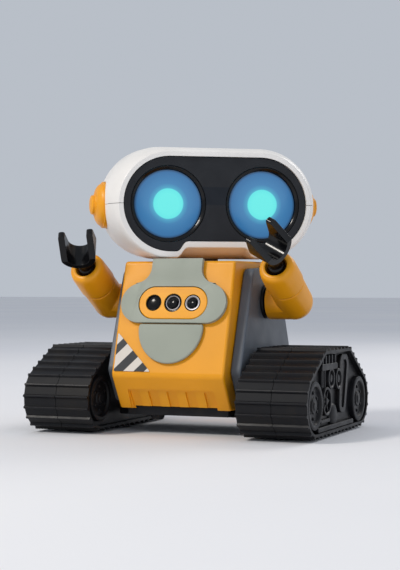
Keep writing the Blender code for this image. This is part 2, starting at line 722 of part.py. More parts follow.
def head():
    pivot = bpy.data.objects.new("neck_axis", None)
    PARTS.objects.link(pivot)
    pivot.location = Vector((0, NECK_Y, BODY_TOP_Z)) * MM
    bpy.context.view_layer.update()
    at = head_frame()
    finish(head_shell("head_top_shell", True), PLASTIC_WHITE, pivot)
    finish(head_shell("head_bottom_shell", False), PLASTIC_WHITE, pivot)

    front = frame(at @ Vector((0, VISOR_FRONT_Y, 0)), at.to_3x3() @ X_AXIS, Z_AXIS)
    visor_outline = goggle(VISOR_HALF_WIDTH, VISOR_HALF_HEIGHT, 0, VISOR_NOTCH)
    visor = prism("visor", visor_outline, -VISOR_THICKNESS, 0, front)
    for side in (1, -1):
        hole = cylinder(f"visor_hole_{side}", EYE_RING_RADIUS + GAP,
                        front @ Vector((side * EYE_X, 0, -8)),
                        front @ Vector((side * EYE_X, 0, 8)), 22)
        cut(visor, hole)
    finish(visor, PLASTIC_GLOSS, pivot)

    for side, word in ((1, "left"), (-1, "right")):
        eye = front @ Matrix.Translation((side * EYE_X, 0, 0))
        ring = ((EYE_RING_RADIUS - 0.6, 0.2), (EYE_RING_RADIUS, -0.2), (EYE_RING_RADIUS, -4.2),
                (EYE_RADIUS - 1.6, -4.2), (EYE_RADIUS - 1.6, -3.4), (EYE_RADIUS + GAP, -3.4),
                (EYE_RADIUS + GAP, -1.2))
        finish(turned("eye_ring_" + word, ring, eye, 22), PLASTIC_GLOSS, pivot)
        lens = ((0, -0.9), (9, -1.0), (15, -1.3), (EYE_RADIUS - 0.3, -1.7), (EYE_RADIUS, -2.1),
                (EYE_RADIUS, -3.4 + GAP), (0, -3.4 + GAP))
        finish(turned("eye_lens_" + word, lens, eye, 22), LENS_BLUE, pivot)
        lamp = ((0, -6.4), (3, -6.7), (4, -8.0), (4, -9.0), (15, -9.0), (15, -10.6), (0, -10.6))
        finish(turned("lamp_board_" + word, lamp, eye), BOARD, pivot)
        out = at @ frame((side * 57.0, EAR_Y, EAR_Z), Y_AXIS, Z_AXIS * side)
        ear = ((0, 15.8), (3.5, 15.5), (5.8, 14.8), (6.9, 12.8), (10.6, 11.8), (13.0, 9.8),
               (13.6, 8.4), (EAR_RADIUS, 8.1), (EAR_RADIUS, 0), (11.8, 0), (11.8, 6), (0, 6))
        finish(turned("ear_" + word, ear, out, 16), PLASTIC_YELLOW, pivot)

    spindle = ((0, 112.0), (7.4, 112.0), (8.0, 111.4), (8.0, BODY_TOP_Z + GAP),
               (NECK_SHAFT_RADIUS, BODY_TOP_Z + GAP), (NECK_SHAFT_RADIUS, 93.0), (0, 93.0))
    at_neck = Matrix.Translation((0, NECK_Y, 0))
    finish(turned("neck_spindle", spindle, at_neck), PLASTIC_GREY, pivot)
    washer = ((NECK_SHAFT_RADIUS + GAP, 101.2), (10.5, 101.2), (10.5, 99.6),
              (NECK_SHAFT_RADIUS + GAP, 99.6))
    finish(turned("neck_washer", washer, at_neck), METAL, pivot)


# ---------------------------------------------------------------- arms

def arm_frame(side):
    """Frame at the elbow: Z runs along the forearm, X is the robot's X."""
    forward = Vector((0, -math.cos(ARM_RAISE), math.sin(ARM_RAISE)))
    elbow = (side * ARM_X, SHOULDER_Y, SHOULDER_Z)
    return frame(elbow, X_AXIS, forward.cross(X_AXIS))


def upper_arm(side, name):
    at = arm_frame(side)
    elbow = Vector((side * ARM_X, SHOULDER_Y, SHOULDER_Z))
    arm = ball(name, ELBOW_RADIUS, elbow)
    stub = cylinder(name + "_stub", ARM_RADIUS, elbow, (side * 46.0, SHOULDER_Y, SHOULDER_Z))
    shaft = cylinder(name + "_shaft", SHAFT_RADIUS, (side * 48, SHOULDER_Y, SHOULDER_Z),
                     (side * 30, SHOULDER_Y, SHOULDER_Z), 16)
    forearm = cylinder(name + "_forearm", ARM_RADIUS, elbow, at @ Vector((0, 0, CUFF_START - GAP)))
    pin = cylinder(name + "_pin", CUFF_PIN_RADIUS, at @ Vector((0, 0, 15)),
                   at @ Vector((0, 0, CUFF_START + CUFF_PIN_LENGTH)), 12)
    return weld(arm, stub, forearm, shaft, pin)


def cuff(side, name):
    mouth = CUFF_END - CUFF_SOCKET_DEPTH
    profile = (
        (CUFF_SOCKET_RADIUS, CUFF_END - 0.8), (7.4, CUFF_END), (9.2, CUFF_END - 0.3),
        (10.4, CUFF_END - 1.5), (11.0, CUFF_END - 4.5), (11.4, CUFF_START + 0.8),
        (11.0, CUFF_START), (CUFF_PIN_RADIUS + GAP, CUFF_START),
        (CUFF_PIN_RADIUS + GAP, CUFF_START + CUFF_PIN_LENGTH + GAP),
        (1.5, CUFF_START + CUFF_PIN_LENGTH + GAP), (1.5, mouth), (CUFF_SOCKET_RADIUS, mouth))
    return turned(name, profile, arm_frame(side))


def claw(side, name):
    """A C-shaped claw on a round-ended stem, turned about the forearm's line."""
    ball_centre = Vector((0, 0, CLAW_BALL))
    at = arm_frame(side) @ Matrix.Rotation(CLAW_TWIST[side], 4, "Z") @ Matrix.Translation(ball_centre)
    at = at @ Matrix.Rotation(CLAW_LEAN, 4, "Y") @ Matrix.Translation(-ball_centre)
    palm = frame(at.to_translation(), at.to_3x3() @ X_AXIS, at.to_3x3() @ Z_AXIS)
    outer = CLAW_HALF_SPAN
    bend = CLAW_BACK + outer
    inner = outer - CLAW_FINGER
    hollow = bend - 0.6
    outline = arc((0, bend), outer, 180, 360, 10)
    outline += [(outer, CLAW_TIP - 1.2), (outer - 1.2, CLAW_TIP), (inner + 1.2, CLAW_TIP),
                (inner, CLAW_TIP - 1.2)]
    outline += arc((0, hollow), inner, 0, -180, 8)
    outline += [(-inner, CLAW_TIP - 1.2), (-inner - 1.2, CLAW_TIP), (-outer + 1.2, CLAW_TIP),
                (-outer, CLAW_TIP - 1.2)]
    body = prism(name, outline, -CLAW_HALF_DEPTH, CLAW_HALF_DEPTH, palm)
    slope = (CLAW_SLANT_START - CLAW_TIP) / (CLAW_HALF_DEPTH - CLAW_TIP_DEPTH)
    past_face = CLAW_HALF_DEPTH + 2
    above_tip = CLAW_TIP + 1
    slant = ((CLAW_TIP_DEPTH + 1 / slope, above_tip),
             (past_face, CLAW_TIP + slope * (past_face - CLAW_TIP_DEPTH)),
             (past_face, above_tip))
    across = frame(palm.to_translation(), palm.to_3x3() @ Z_AXIS, palm.to_3x3() @ Y_AXIS)
    cut(body, prism(name + "_slant", slant, -outer - 1, outer + 1, across))
    stem = cylinder(name + "_stem", 3.8, at @ ball_centre, at @ Vector((0, 0, CLAW_BACK + 3)),
                    end_radius=5.2)
    root = ball(name + "_root", CLAW_BALL_RADIUS, at @ ball_centre)
    return weld(body, stem, root)


def arms():
    for side, word in ((1, "left"), (-1, "right")):
        shoulder = bpy.data.objects.new("shoulder_axis_" + word, None)
        PARTS.objects.link(shoulder)
        shoulder.location = Vector((side * ARM_X, SHOULDER_Y, SHOULDER_Z)) * MM
        bpy.context.view_layer.update()
        finish(upper_arm(side, "upper_arm_" + word), PLASTIC_YELLOW, shoulder)
        finish(cuff(side, "arm_cuff_" + word), PLASTIC_YELLOW, shoulder)
        finish(claw(side, "claw_" + word), PLASTIC_GLOSS, shoulder)
        at = frame((side * 30.8, SHOULDER_Y, SHOULDER_Z), Y_AXIS, Z_AXIS * side)
        clip = ((SHAFT_RADIUS + GAP, 1.2), (7.0, 1.2), (7.0, 0), (SHAFT_RADIUS + GAP, 0))
        finish(turned("shoulder_clip_" + word, clip, at), METAL, shoulder)
        shoulder_hub(side, "shoulder_hub_" + word)


# ---------------------------------------------------------------- track pods

def walk(outline, distance):
    """Point and outward normal at a distance along a closed outline."""
    for index, end in enumerate(outline):
        start = Vector(outline[index - 1])
        along = Vector(end) - start
        if distance <= along.length:
            along_unit = along.normalized()
            return start + along_unit * distance, Vector((-along_unit.y, along_unit.x))
        distance -= along.length
    return Vector(outline[-1]), Vector((0, 1))


def belt_outline():
    """The tread: a ridge with sloping flanks at every pitch, and flat links between."""
    tips = rounded(POD_OUTLINE, 7.5)
    total = sum((Vector(a) - Vector(b)).length for a, b in zip(tips, tips[1:] + tips[:1]))
    pitch = total / RIDGE_COUNT
    points = []
    for index in range(RIDGE_COUNT):
        middle = pitch * (index + 0.5)
        for offset, depth in ((-RIDGE_HALF, RIDGE_HEIGHT), (0, 0), (RIDGE_HALF, RIDGE_HEIGHT)):
            point, normal = walk(tips, middle + offset)
            inwards = point + normal * depth
            points.append((inwards.x, inwards.y))
    return points


def pod_half(side, name, near, far, face):
    """One moulded half of a pod; face is the x of its outside, where the relief is."""
    half = side_prism(name, belt_outline(), side, near, far)
    step = 1 if face == far else -1
    room_far = face - step * (FACE_RECESS + POD_WALL)
    seam = near if face == far else far
    room = side_prism(name + "_room", rounded(inset(POD_OUTLINE, RIDGE_HEIGHT + POD_WALL)),
                      side, seam - step * 1.0, room_far)
    dish = side_prism(name + "_dish", rounded(inset(POD_OUTLINE, RIDGE_HEIGHT + 1.9)),
                      side, face - step * FACE_RECESS, face + step * 1.0)
    return cut(half, room, dish)


def disc(name, side, y, z, radius, near, far, segments=14):
    return cylinder(name, radius, (side * near, y, z), (side * far, y, z), segments)


def pod_outer_shell(side, name):
    near = POD_SEAM_X + GAP / 2
    shell = pod_half(side, name, near, POD_OUTER_X, POD_OUTER_X)
    base = POD_OUTER_X - FACE_RECESS - 0.4
    for index, (y, z) in enumerate(((-46.5, 20.6), (44.0, 18.6))):
        label = f"{name}_relief_{index + 1}"
        weld(shell, disc(label + "_wheel", side, y, z, 14.2, base, POD_OUTER_X - 0.1))
        cut(shell, disc(label + "_dish", side, y, z, 11.2, POD_OUTER_X - 1.2, POD_OUTER_X + 1))
        weld(shell, disc(label + "_hub", side, y, z, 7.0, base, POD_OUTER_X - 0.3, 12))
    for index, (y, z) in enumerate(((-14.5, 34.6), (0.5, 33.6))):
        weld(shell, disc(f"{name}_roller_{index + 1}", side, y, z, 6.2, base, POD_OUTER_X - 0.2, 12))
    link = rounded(((5.5, 47.5, 6.5), (2.5, 12.5, 6.0), (16.0, 12.5, 6.0), (25.0, 47.5, 6.5)))
    weld(shell, side_prism(name + "_link", link, side, base, POD_OUTER_X - 0.2))
    bar = rounded(((-33.0, 43.6, 1.6), (-37.0, 39.8, 1.6), (-3.0, 39.8, 1.6), (-3.0, 43.6, 1.6)))
    weld(shell, side_prism(name + "_bar", bar, side, base, POD_OUTER_X - 0.1))
    weld(shell, disc(name + "_fan", side, -22.0, 21.5, 8.5, base, POD_OUTER_X - 0.4, 14))
    weld(shell, disc(name + "_dome", side, -6.5, 12.0, 7.4, base, POD_OUTER_X - 0.2, 14))
    rail = rounded(((-42.0, 7.6, 0.6), (-42.0, 4.6, 0.6), (30.0, 4.6, 0.6), (30.0, 7.6, 0.6)))
    weld(shell, side_prism(name + "_rail", rail, side, base, POD_OUTER_X - 0.1))
    slots = (("wheel_slot", WHEEL_Y, WHEEL_RADIUS), ("idler_slot", IDLER_Y, IDLER_RADIUS))
    for label, y, radius in slots:
        length = 2 * math.sqrt(radius ** 2 - (radius - 6.5) ** 2) + 2.0
        middle = side * sum(WHEEL_X) / 2
        width = WHEEL_X[1] - WHEEL_X[0] + 1.2
        cut(shell, box(f"{name}_{label}", (width, length, 12), (middle, y, 0.5)))
    return finish(shell, PLASTIC_BLACK)


def pod_inner_shell(side, name):
    far = POD_SEAM_X - GAP / 2
    shell = pod_half(side, name, POD_INNER_X, far, POD_INNER_X)
    base = POD_INNER_X + FACE_RECESS + 0.4
    for index, (y, z) in enumerate(((-44.0, 21.0), (44.5, 19.5))):
        label = f"{name}_relief_{index + 1}"
        weld(shell, disc(label + "_wheel", side, y, z, 14.0, POD_INNER_X + 0.2, base))
        cut(shell, disc(label + "_dish", side, y, z, 10.5, POD_INNER_X - 1, POD_INNER_X + 1.2))
    return finish(shell, PLASTIC_BLACK)


def toothed(radius, teeth, depth):
    """Outline of a small spur gear with flat-topped teeth."""
    points = []
    for index in range(teeth):
        for share, r in ((0.05, radius - depth), (0.3, radius), (0.55, radius), (0.8, radius - depth)):
            angle = math.tau * (index + share) / teeth
            points.append((r * math.cos(angle), r * math.sin(angle)))
    return points


def pod_works(side, word):
    wheel_z = WHEEL_RADIUS
    near, far = WHEEL_X
    axis = bpy.data.objects.new("wheel_axis_" + word, None)
    PARTS.objects.link(axis)
    axis.location = Vector((side * (near + far) / 2, WHEEL_Y, wheel_z)) * MM
    bpy.context.view_layer.update()
    rim = WHEEL_RADIUS - 3.0
    hub = disc("drive_hub_" + word, side, WHEEL_Y, wheel_z, rim - GAP, near, far, 18)
    dish = disc("hub_dish_" + word, side, WHEEL_Y, wheel_z, rim - 3, far - 3, far + 1)
    boss = disc("hub_boss_" + word, side, WHEEL_Y, wheel_z, 4.0, GEAR_X[1] - 1, far, 12)
    at = side_frame() @ Matrix.Translation((WHEEL_Y, wheel_z, 0))
    low, high = sorted((side * GEAR_X[0], side * GEAR_X[1]))
    gear = prism("hub_gear_" + word, toothed(GEAR_RADIUS, GEAR_TEETH, 1.3), low, high, at)
    bore = disc("hub_bore_" + word, side, WHEEL_Y, wheel_z, AXLE_RADIUS + GAP, near - 8, far + 2, 10)
    finish(cut(weld(cut(hub, dish), boss, gear), bore), GEAR_PLASTIC, axis)
    turn = frame((side * near, WHEEL_Y, wheel_z), Y_AXIS, Z_AXIS * side)
    width = far - near
    tyre = ((rim, width), (WHEEL_RADIUS - 0.8, width), (WHEEL_RADIUS, width - 0.8),
            (WHEEL_RADIUS, 0.8), (WHEEL_RADIUS - 0.8, 0), (rim, 0))
    finish(turned("drive_tyre_" + word, tyre, turn, 24), TYRE, axis)
    axle = disc("drive_axle_" + word, side, WHEEL_Y, wheel_z, AXLE_RADIUS, 51.5, 84.0, 10)
    finish(axle, METAL, axis)

    idler_axis = bpy.data.objects.new("idler_axis_" + word, None)
    PARTS.objects.link(idler_axis)
    idler_axis.location = Vector((side * (near + far) / 2, IDLER_Y, IDLER_RADIUS)) * MM
    turn = frame((side * near, IDLER_Y, IDLER_RADIUS), Y_AXIS, Z_AXIS * side)
    bpy.context.view_layer.update()
    idler = ((0, width - 0.8), (AXLE_RADIUS, width - 0.8), (3.5, width - 1), (9, width - 2.5),
             (10, width), (IDLER_RADIUS - 0.6, width), (IDLER_RADIUS, width - 0.6),
             (IDLER_RADIUS, 0.6), (IDLER_RADIUS - 0.6, 0), (AXLE_RADIUS + 1, 0),
             (AXLE_RADIUS, -6), (0, -6))
    finish(turned("idler_wheel_" + word, idler, turn, 20), PLASTIC_BLACK, idler_axis)

    reach = GEAR_RADIUS + PINION_RADIUS + GAP
    motor_y = WHEEL_Y + reach * math.cos(MOTOR_ANGLE)
    motor_z = wheel_z + reach * math.sin(MOTOR_ANGLE)
    turn = frame((side * 52.0, motor_y, motor_z), Y_AXIS, Z_AXIS * side)
    can = ((0, 18), (3, 18), (3, 17), (MOTOR_RADIUS, 16.4), (MOTOR_RADIUS, 0), (0, 0))
    finish(turned("drive_motor_" + word, can, turn), METAL)
    pinion_axis = bpy.data.objects.new("pinion_axis_" + word, None)
    PARTS.objects.link(pinion_axis)
    pinion_axis.location = Vector((side * GEAR_X[0], motor_y, motor_z)) * MM
    bpy.context.view_layer.update()
    at = side_frame() @ Matrix.Translation((motor_y, motor_z, 0))
    pinion = prism("motor_pinion_" + word, toothed(PINION_RADIUS, PINION_TEETH, 1.3), low, high, at)
    finish(pinion, GEAR_PLASTIC, pinion_axis)


# ---------------------------------------------------------------- build

clear_scene()
PARTS = new_collection("two_wheel_robot_car")
CUTTERS = new_collection("cutters")

front_shell()
rear_cover()
battery_door()
battery_door_screw()
side_panel(1, "side_panel_left")
side_panel(-1, "side_panel_right")
chest_plate()
chest_tongue()
sensor_bezel()
for lens_index, ring in enumerate(RING_OUTER):
    sensor_lens(lens_index)
    if ring is not None:
        sensor_ring(lens_index)
hazard_decal()
base_chassis()
inner_works()
head()
arms()
for pod_side, pod_word in ((1, "left"), (-1, "right")):
    pod_outer_shell(pod_side, "pod_outer_shell_" + pod_word)
    pod_inner_shell(pod_side, "pod_inner_shell_" + pod_word)
    pod_works(pod_side, pod_word)
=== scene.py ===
"""Looks for the two wheel toy robot car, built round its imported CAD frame.

Lengths in this file are millimetres, as in the CAD source; mesh helpers turn them into metres.
The robot looks towards -Y, +Z is up, and its left side is +X.
"""

import json
import math

import bmesh
import bpy
from mathutils import Matrix, Vector

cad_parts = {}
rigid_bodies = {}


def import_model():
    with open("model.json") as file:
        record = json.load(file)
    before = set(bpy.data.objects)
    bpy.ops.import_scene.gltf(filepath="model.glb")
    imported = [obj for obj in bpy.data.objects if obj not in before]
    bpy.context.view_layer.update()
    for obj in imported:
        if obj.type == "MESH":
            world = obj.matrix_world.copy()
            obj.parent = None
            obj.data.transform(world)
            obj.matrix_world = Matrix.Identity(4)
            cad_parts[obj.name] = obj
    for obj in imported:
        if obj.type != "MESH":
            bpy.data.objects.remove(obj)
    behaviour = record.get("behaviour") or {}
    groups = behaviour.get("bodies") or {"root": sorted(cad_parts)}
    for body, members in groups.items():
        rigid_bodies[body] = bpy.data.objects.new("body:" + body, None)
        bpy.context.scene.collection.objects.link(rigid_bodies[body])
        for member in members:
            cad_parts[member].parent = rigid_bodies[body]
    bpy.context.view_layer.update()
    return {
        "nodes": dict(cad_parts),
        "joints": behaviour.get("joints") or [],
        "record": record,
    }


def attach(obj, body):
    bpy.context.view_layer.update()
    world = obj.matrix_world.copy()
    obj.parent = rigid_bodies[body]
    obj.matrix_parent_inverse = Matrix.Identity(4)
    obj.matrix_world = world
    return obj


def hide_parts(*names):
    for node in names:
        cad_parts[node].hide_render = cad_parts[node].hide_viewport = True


for leftover in list(bpy.data.objects):
    bpy.data.objects.remove(leftover)

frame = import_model()
RECORD = frame["record"]
JOINTS = {joint["name"]: joint for joint in frame["joints"]}
BODY_OF = {node: body for body, nodes in RECORD["behaviour"]["bodies"].items() for node in nodes}
SLOT_OF = {part["node"]: part["material_slot"] for part in RECORD["subparts"]}

MM = 0.001
GAP = 0.3
SIDES = ((1, "left"), (-1, "right"))
X_AXIS = Vector((1, 0, 0))
Y_AXIS = Vector((0, 1, 0))
Z_AXIS = Vector((0, 0, 1))

# Body: side profile corners as (y, z, corner radius).
BODY_HALF_WIDTH = 36.0
BODY_WALL = 2.4
BODY_EDGE = 1.7
BODY_ROOM_FOOT = 8.0
NECK_HOLE_RADIUS = 6.8
HEAD_HOLE_RADIUS = 8.3
BODY_TOP_FRONT = (-34.0, 104.0, 2.5)
BODY_CHIN = (-54.0, 36.0, 5.0)
BODY_SKIRT = (-41.0, 15.5, 1.5)
BODY_HEEL = (44.0, 15.5, 4.0)
BODY_BACK = (50.0, 58.0, 12.0)
BODY_TOP_REAR = (28.0, 104.0, 6.0)
BODY_PROFILE = (BODY_TOP_FRONT, BODY_CHIN, BODY_SKIRT, BODY_HEEL, BODY_BACK, BODY_TOP_REAR)
PANEL_OUTLINE = (
    (-21.5, 99.4, 6.0), (-44.5, 38.5, 5.0), (-33.0, 19.0, 4.0),
    (38.0, 19.0, 5.0), (46.0, 50.0, 12.0), (23.0, 101.0, 8.0),
)
PANEL_THICKNESS = 6.7
PANEL_WALL = 2.2
SKIRT_SLOT_COUNT = 5
SKIRT_SLOT_PITCH = 12.0
SKIRT_SLOT_HALF_WIDTH = 3.15
DOOR_OPENING = (40.6, 26.6, 12.0)
GRILLE_SLOT_COUNT = 5
GRILLE_SLOT_PITCH = 3.2
BACK_FITTING_X = 21.0
DECAL_FOOT_Z = 38.3
DECAL_SIZE = 23.6
DECAL_STRIPES = ((82.0, 88.2), (66.5, 74.0), (53.0, 59.8))
CUTTER_SIZE = 200.0

# Chest plates on the front wall.
CHEST_Z = 78.3
CHEST_HALF_WIDTH = 33.8
CHEST_RADIUS = 12.2
NECK_PLATE_HALF_WIDTH = 16.2
NECK_PLATE_TOP = 27.6
NECK_FLARE = 9.6
TONGUE_HALF_WIDTH = 20.6
TONGUE_TOP = -12.6
TONGUE_SHOULDER = -15.0
TONGUE_BOTTOM = -36.9
BEZEL_HALF_WIDTH = 22.0
BEZEL_RADIUS = 9.9
LENS_SPACING = 12.5
LENS_RADII = (4.8, 5.4, 4.9)
RING_OUTER = (None, 4.45, 4.55)
RING_INNER = (None, 3.85, 3.45)
LENS_NAMES = ("right", "middle", "left")

# Head: sections as (y, half width, half height, centre z, notch depth).
HEAD_YAW = math.radians(35.0)
EYE_Z = 138.8
HEAD_WALL = 2.3
HEAD_SECTIONS = (
    (-29.7, 59.6, 31.4, -0.3, 5.6), (-29.3, 60.3, 32.1, -0.3, 5.8), (-28.7, 60.7, 32.4, -0.3, 5.9),
    (-27.3, 61.7, 32.8, -0.1, 5.5), (-25.5, 62.6, 33.2, 0.2, 4.6), (-22.5, 63.7, 33.6, 0.5, 3.0),
    (-19.0, 64.6, 34.0, 0.9, 1.6), (-14.5, 65.4, 34.3, 1.2, 0.6), (-10.0, 65.9, 34.5, 1.4, 0.0),
    (4.0, 66.2, 34.6, 1.8, 0.0), (11.0, 65.6, 34.1, 1.8, 0.0), (17.0, 64.2, 33.0, 1.7, 0.0),
    (22.5, 62.2, 31.3, 1.5, 0.0), (27.0, 59.5, 29.0, 1.3, 0.0), (30.2, 56.6, 26.3, 1.1, 0.0),
    (32.5, 53.0, 23.0, 1.0, 0.0), (33.8, 49.8, 20.0, 1.0, 0.0), (34.5, 46.0, 16.5, 1.0, 0.0),
)
NOTCH_INNER = 17.5
NOTCH_OUTER = 24.5
VISOR_HALF_WIDTH = 56.9
VISOR_HALF_HEIGHT = 28.6
VISOR_NOTCH = 6.1
VISOR_FRONT_Y = -28.4
EYE_X = 29.4
EYE_RADIUS = 20.6
EYE_RING_RADIUS = 23.0
EAR_Y = 2.0
EAR_Z = 0.4
EAR_RADIUS = 14.3

# Arms and claws.
ARM_RADIUS = 10.9
SHAFT_RADIUS = 4.0
CUFF_START = 20.3
CUFF_END = 41.5
CUFF_SOCKET_RADIUS = 6.5
CUFF_PIN_RADIUS = 4.0
CUFF_PIN_LENGTH = 6.0
CLAW_BACK = 50.3
CLAW_TIP = 70.0
CLAW_HALF_SPAN = 10.7
CLAW_HALF_DEPTH = 7.3
CLAW_FINGER = 4.0
CLAW_TIP_DEPTH = -4.0
CLAW_SLANT_START = 59.0
CLAW_TWIST = {1: math.radians(60.0), -1: math.radians(12.0)}
CLAW_LEAN = math.radians(8.5)
CLAW_BALL = 38.2
CLAW_BALL_RADIUS = 5.5

# Track pods.
POD_INNER_X = 46.7
POD_OUTER_X = 89.7
POD_SEAM_X = 68.2
POD_OUTLINE = (
    (-27.5, 52.5, 7.0), (-64.9, 33.0, 19.6), (-64.9, 1.2, 19.6),
    (64.7, 1.2, 17.5), (64.7, 29.0, 17.5), (24.0, 52.5, 7.0),
)
RIDGE_COUNT = 42
RIDGE_HEIGHT = 1.4
RIDGE_SHAPE = ((-1.2, RIDGE_HEIGHT), (-0.6, 0.15), (-0.35, 0.0),
               (0.35, 0.0), (0.6, 0.15), (1.2, RIDGE_HEIGHT))
FACE_RECESS = 3.3
POD_ROOM_DEPTH = 4.2
HIDDEN_WHEELS = ((25.0, 17.0), (-32.0, 12.0))
WHEEL_SLOT_WIDTH = 11.2
WHEEL_SLOT_LEVEL = 6.5


# ---------------------------------------------------------------- frames and outlines

def axes(origin, x_axis, y_axis):
    """Matrix of a local frame, in millimetres, from its origin and first two axes."""
    x_axis = Vector(x_axis).normalized()
    z_axis = x_axis.cross(Vector(y_axis)).normalized()
    y_axis = z_axis.cross(x_axis)
    rotation = Matrix((x_axis, y_axis, z_axis)).transposed().to_4x4()
    return Matrix.Translation(Vector(origin)) @ rotation


def shift(u, v, w=0.0):
    return Matrix.Translation((u, v, w))


def arc(centre, radius, start, end, steps):
    points = []
    for step in range(steps + 1):
        angle = math.radians(start + (end - start) * step / steps)
        points.append((centre[0] + radius * math.cos(angle), centre[1] + radius * math.sin(angle)))
    return points


def rounded(corners, degrees_per_step=6.0):
    """A closed outline from (u, v, radius) corners, with an arc in place of each corner."""
    points = []
    for index, (u, v, radius) in enumerate(corners):
        here = Vector((u, v))
        before = Vector(corners[index - 1][:2]) - here
        after = Vector(corners[(index + 1) % len(corners)][:2]) - here
        turn = math.pi - before.angle(after)
        if radius <= 0 or turn < 1e-4:
            points.append((u, v))
            continue
        before.normalize()
        after.normalize()
        centre = here + (before + after).normalized() * (radius / math.cos(turn / 2))
        first = here + before * radius * math.tan(turn / 2) - centre
        last = here + after * radius * math.tan(turn / 2) - centre
        sweep = first.angle_signed(last)
        steps = max(1, round(math.degrees(turn) / degrees_per_step))
        for step in range(steps + 1):
            angle = -sweep * step / steps
            cos, sin = math.cos(angle), math.sin(angle)
            points.append((centre.x + first.x * cos - first.y * sin,
                           centre.y + first.x * sin + first.y * cos))
    return points


def inset(corners, distance):
    """Move a convex outline of (u, v, radius) corners inwards by a distance."""
    centre = sum((Vector(corner[:2]) for corner in corners), Vector((0, 0))) / len(corners)
    moved = []
    for index, (u, v, radius) in enumerate(corners):
        here = Vector((u, v))
        normals = []
        for other in (corners[index - 1], corners[(index + 1) % len(corners)]):
            along = (Vector(other[:2]) - here).normalized()
            normal = Vector((-along.y, along.x))
            if normal.dot(centre - here) < 0:
                normal.negate()
            normals.append(normal)
        bisector = (normals[0] + normals[1]).normalized()
        here += bisector * (distance / bisector.dot(normals[0]))
        moved.append((here.x, here.y, max(radius - distance, 0.3)))
    return moved


def pill(half_width, radius, steps=20):
    span = half_width - radius
    return arc((span, 0), radius, -90, 90, steps) + arc((-span, 0), radius, 90, 270, steps)


# ---------------------------------------------------------------- meshes

def local_object(name, bm, matrix):
    """An object whose mesh is in metres in a local frame given in millimetres."""
    bmesh.ops.scale(bm, vec=Vector((MM, MM, MM)), verts=bm.verts)
    bmesh.ops.recalc_face_normals(bm, faces=bm.faces)
    mesh = bpy.data.meshes.new(name)
    bm.to_mesh(mesh)
    bm.free()
    obj = bpy.data.objects.new(name, mesh)
    bpy.context.scene.collection.objects.link(obj)
    obj.matrix_world = Matrix.Translation(matrix.to_translation() * MM) @ matrix.to_3x3().to_4x4()
    return obj


def slab(name, outline, low, high, matrix=Matrix()):
    bm = bmesh.new()
    bottom = [bm.verts.new((u, v, low)) for u, v in outline]
    top = [bm.verts.new((u, v, high)) for u, v in outline]
    bm.faces.new(list(reversed(bottom)))
    bm.faces.new(top)
    for index in range(len(outline)):
        bm.faces.new((bottom[index - 1], bottom[index], top[index], top[index - 1]))
    return local_object(name, bm, matrix)


def turned(name, profile, matrix=Matrix(), steps=64):
    """A closed turned solid: profile points are (radius, height) along the frame's Z."""
    bm = bmesh.new()
    rings = []
    for radius, height in profile:
        if radius <= 0:
            rings.append([bm.verts.new((0, 0, height))])
            continue
        ring = []
        for step in range(steps):
            angle = math.tau * step / steps
            ring.append(bm.verts.new((radius * math.cos(angle), radius * math.sin(angle), height)))
        rings.append(ring)
    pairs = list(zip(rings, rings[1:]))
    if profile[0][0] > 0:
        pairs.append((rings[-1], rings[0]))
    for first, second in pairs:
        for step in range(steps):
            corners = [first[step - 1], first[step], second[step], second[step - 1]] \
                if len(first) > 1 and len(second) > 1 else (
                    [first[0], second[step], second[step - 1]] if len(first) == 1
                    else [first[step - 1], first[step], second[0]])
            bm.faces.new(corners)
    return local_object(name, bm, matrix)


def rod(name, radius, start, end, end_radius=None, steps=64):
    start, end = Vector(start), Vector(end)
    length = (end - start).length
    turn = Z_AXIS.rotation_difference(end - start).to_matrix().to_4x4()
    tip = radius if end_radius is None else end_radius
    profile = ((0, 0), (radius, 0), (tip, length), (0, length))
    return turned(name, profile, Matrix.Translation(start) @ turn, steps)


def ball(name, radius, centre, steps=48):
    profile = [(radius * math.sin(math.pi * step / 24), -radius * math.cos(math.pi * step / 24))
               for step in range(25)]
    profile[0] = (0, -radius)
    profile[-1] = (0, radius)
    return turned(name, profile, Matrix.Translation(Vector(centre)), steps)


def block(name, size, centre, matrix=Matrix()):
    bm = bmesh.new()
    bmesh.ops.create_cube(bm, size=1.0)
    bmesh.ops.scale(bm, vec=Vector(size), verts=bm.verts)
    bmesh.ops.translate(bm, vec=Vector(centre), verts=bm.verts)
    return local_object(name, bm, matrix)


def bevel(obj, width, segments=3, angle=40.0):
    modifier = obj.modifiers.new("Edges", "BEVEL")
    modifier.width = width * MM
    modifier.segments = segments
    modifier.limit_method = "ANGLE"
    modifier.angle_limit = math.radians(angle)
    return obj


def apply(obj):
    """Turn an object's modifiers into mesh."""
    bpy.context.view_layer.update()
    graph = bpy.context.evaluated_depsgraph_get()
    mesh = bpy.data.meshes.new_from_object(obj.evaluated_get(graph))
    obj.modifiers.clear()
    obj.data = mesh
    return obj


def combine(obj, tools, operation):
    apply(obj)
    for tool in tools:
        apply(tool)
        modifier = obj.modifiers.new(operation, "BOOLEAN")
        modifier.operation = operation
        modifier.solver = "MANIFOLD"
        modifier.object = tool
    apply(obj)
    for tool in tools:
        bpy.data.objects.remove(tool)
    return obj


def cut(obj, *tools):
    return combine(obj, tools, "DIFFERENCE")


def weld(obj, *tools):
    return combine(obj, tools, "UNION")


def join(obj, extras):
    """Put other closed bodies in the same object, each with its own modifiers applied."""
    apply(obj)
    bm = bmesh.new()
    bm.from_mesh(obj.data)
    home = obj.matrix_world.inverted()
    for extra in extras:
        apply(extra)
        mesh = extra.data
        mesh.transform(home @ extra.matrix_world)
        bm.from_mesh(mesh)
        bpy.data.objects.remove(extra)
    bm.to_mesh(obj.data)
    bm.free()
    return obj


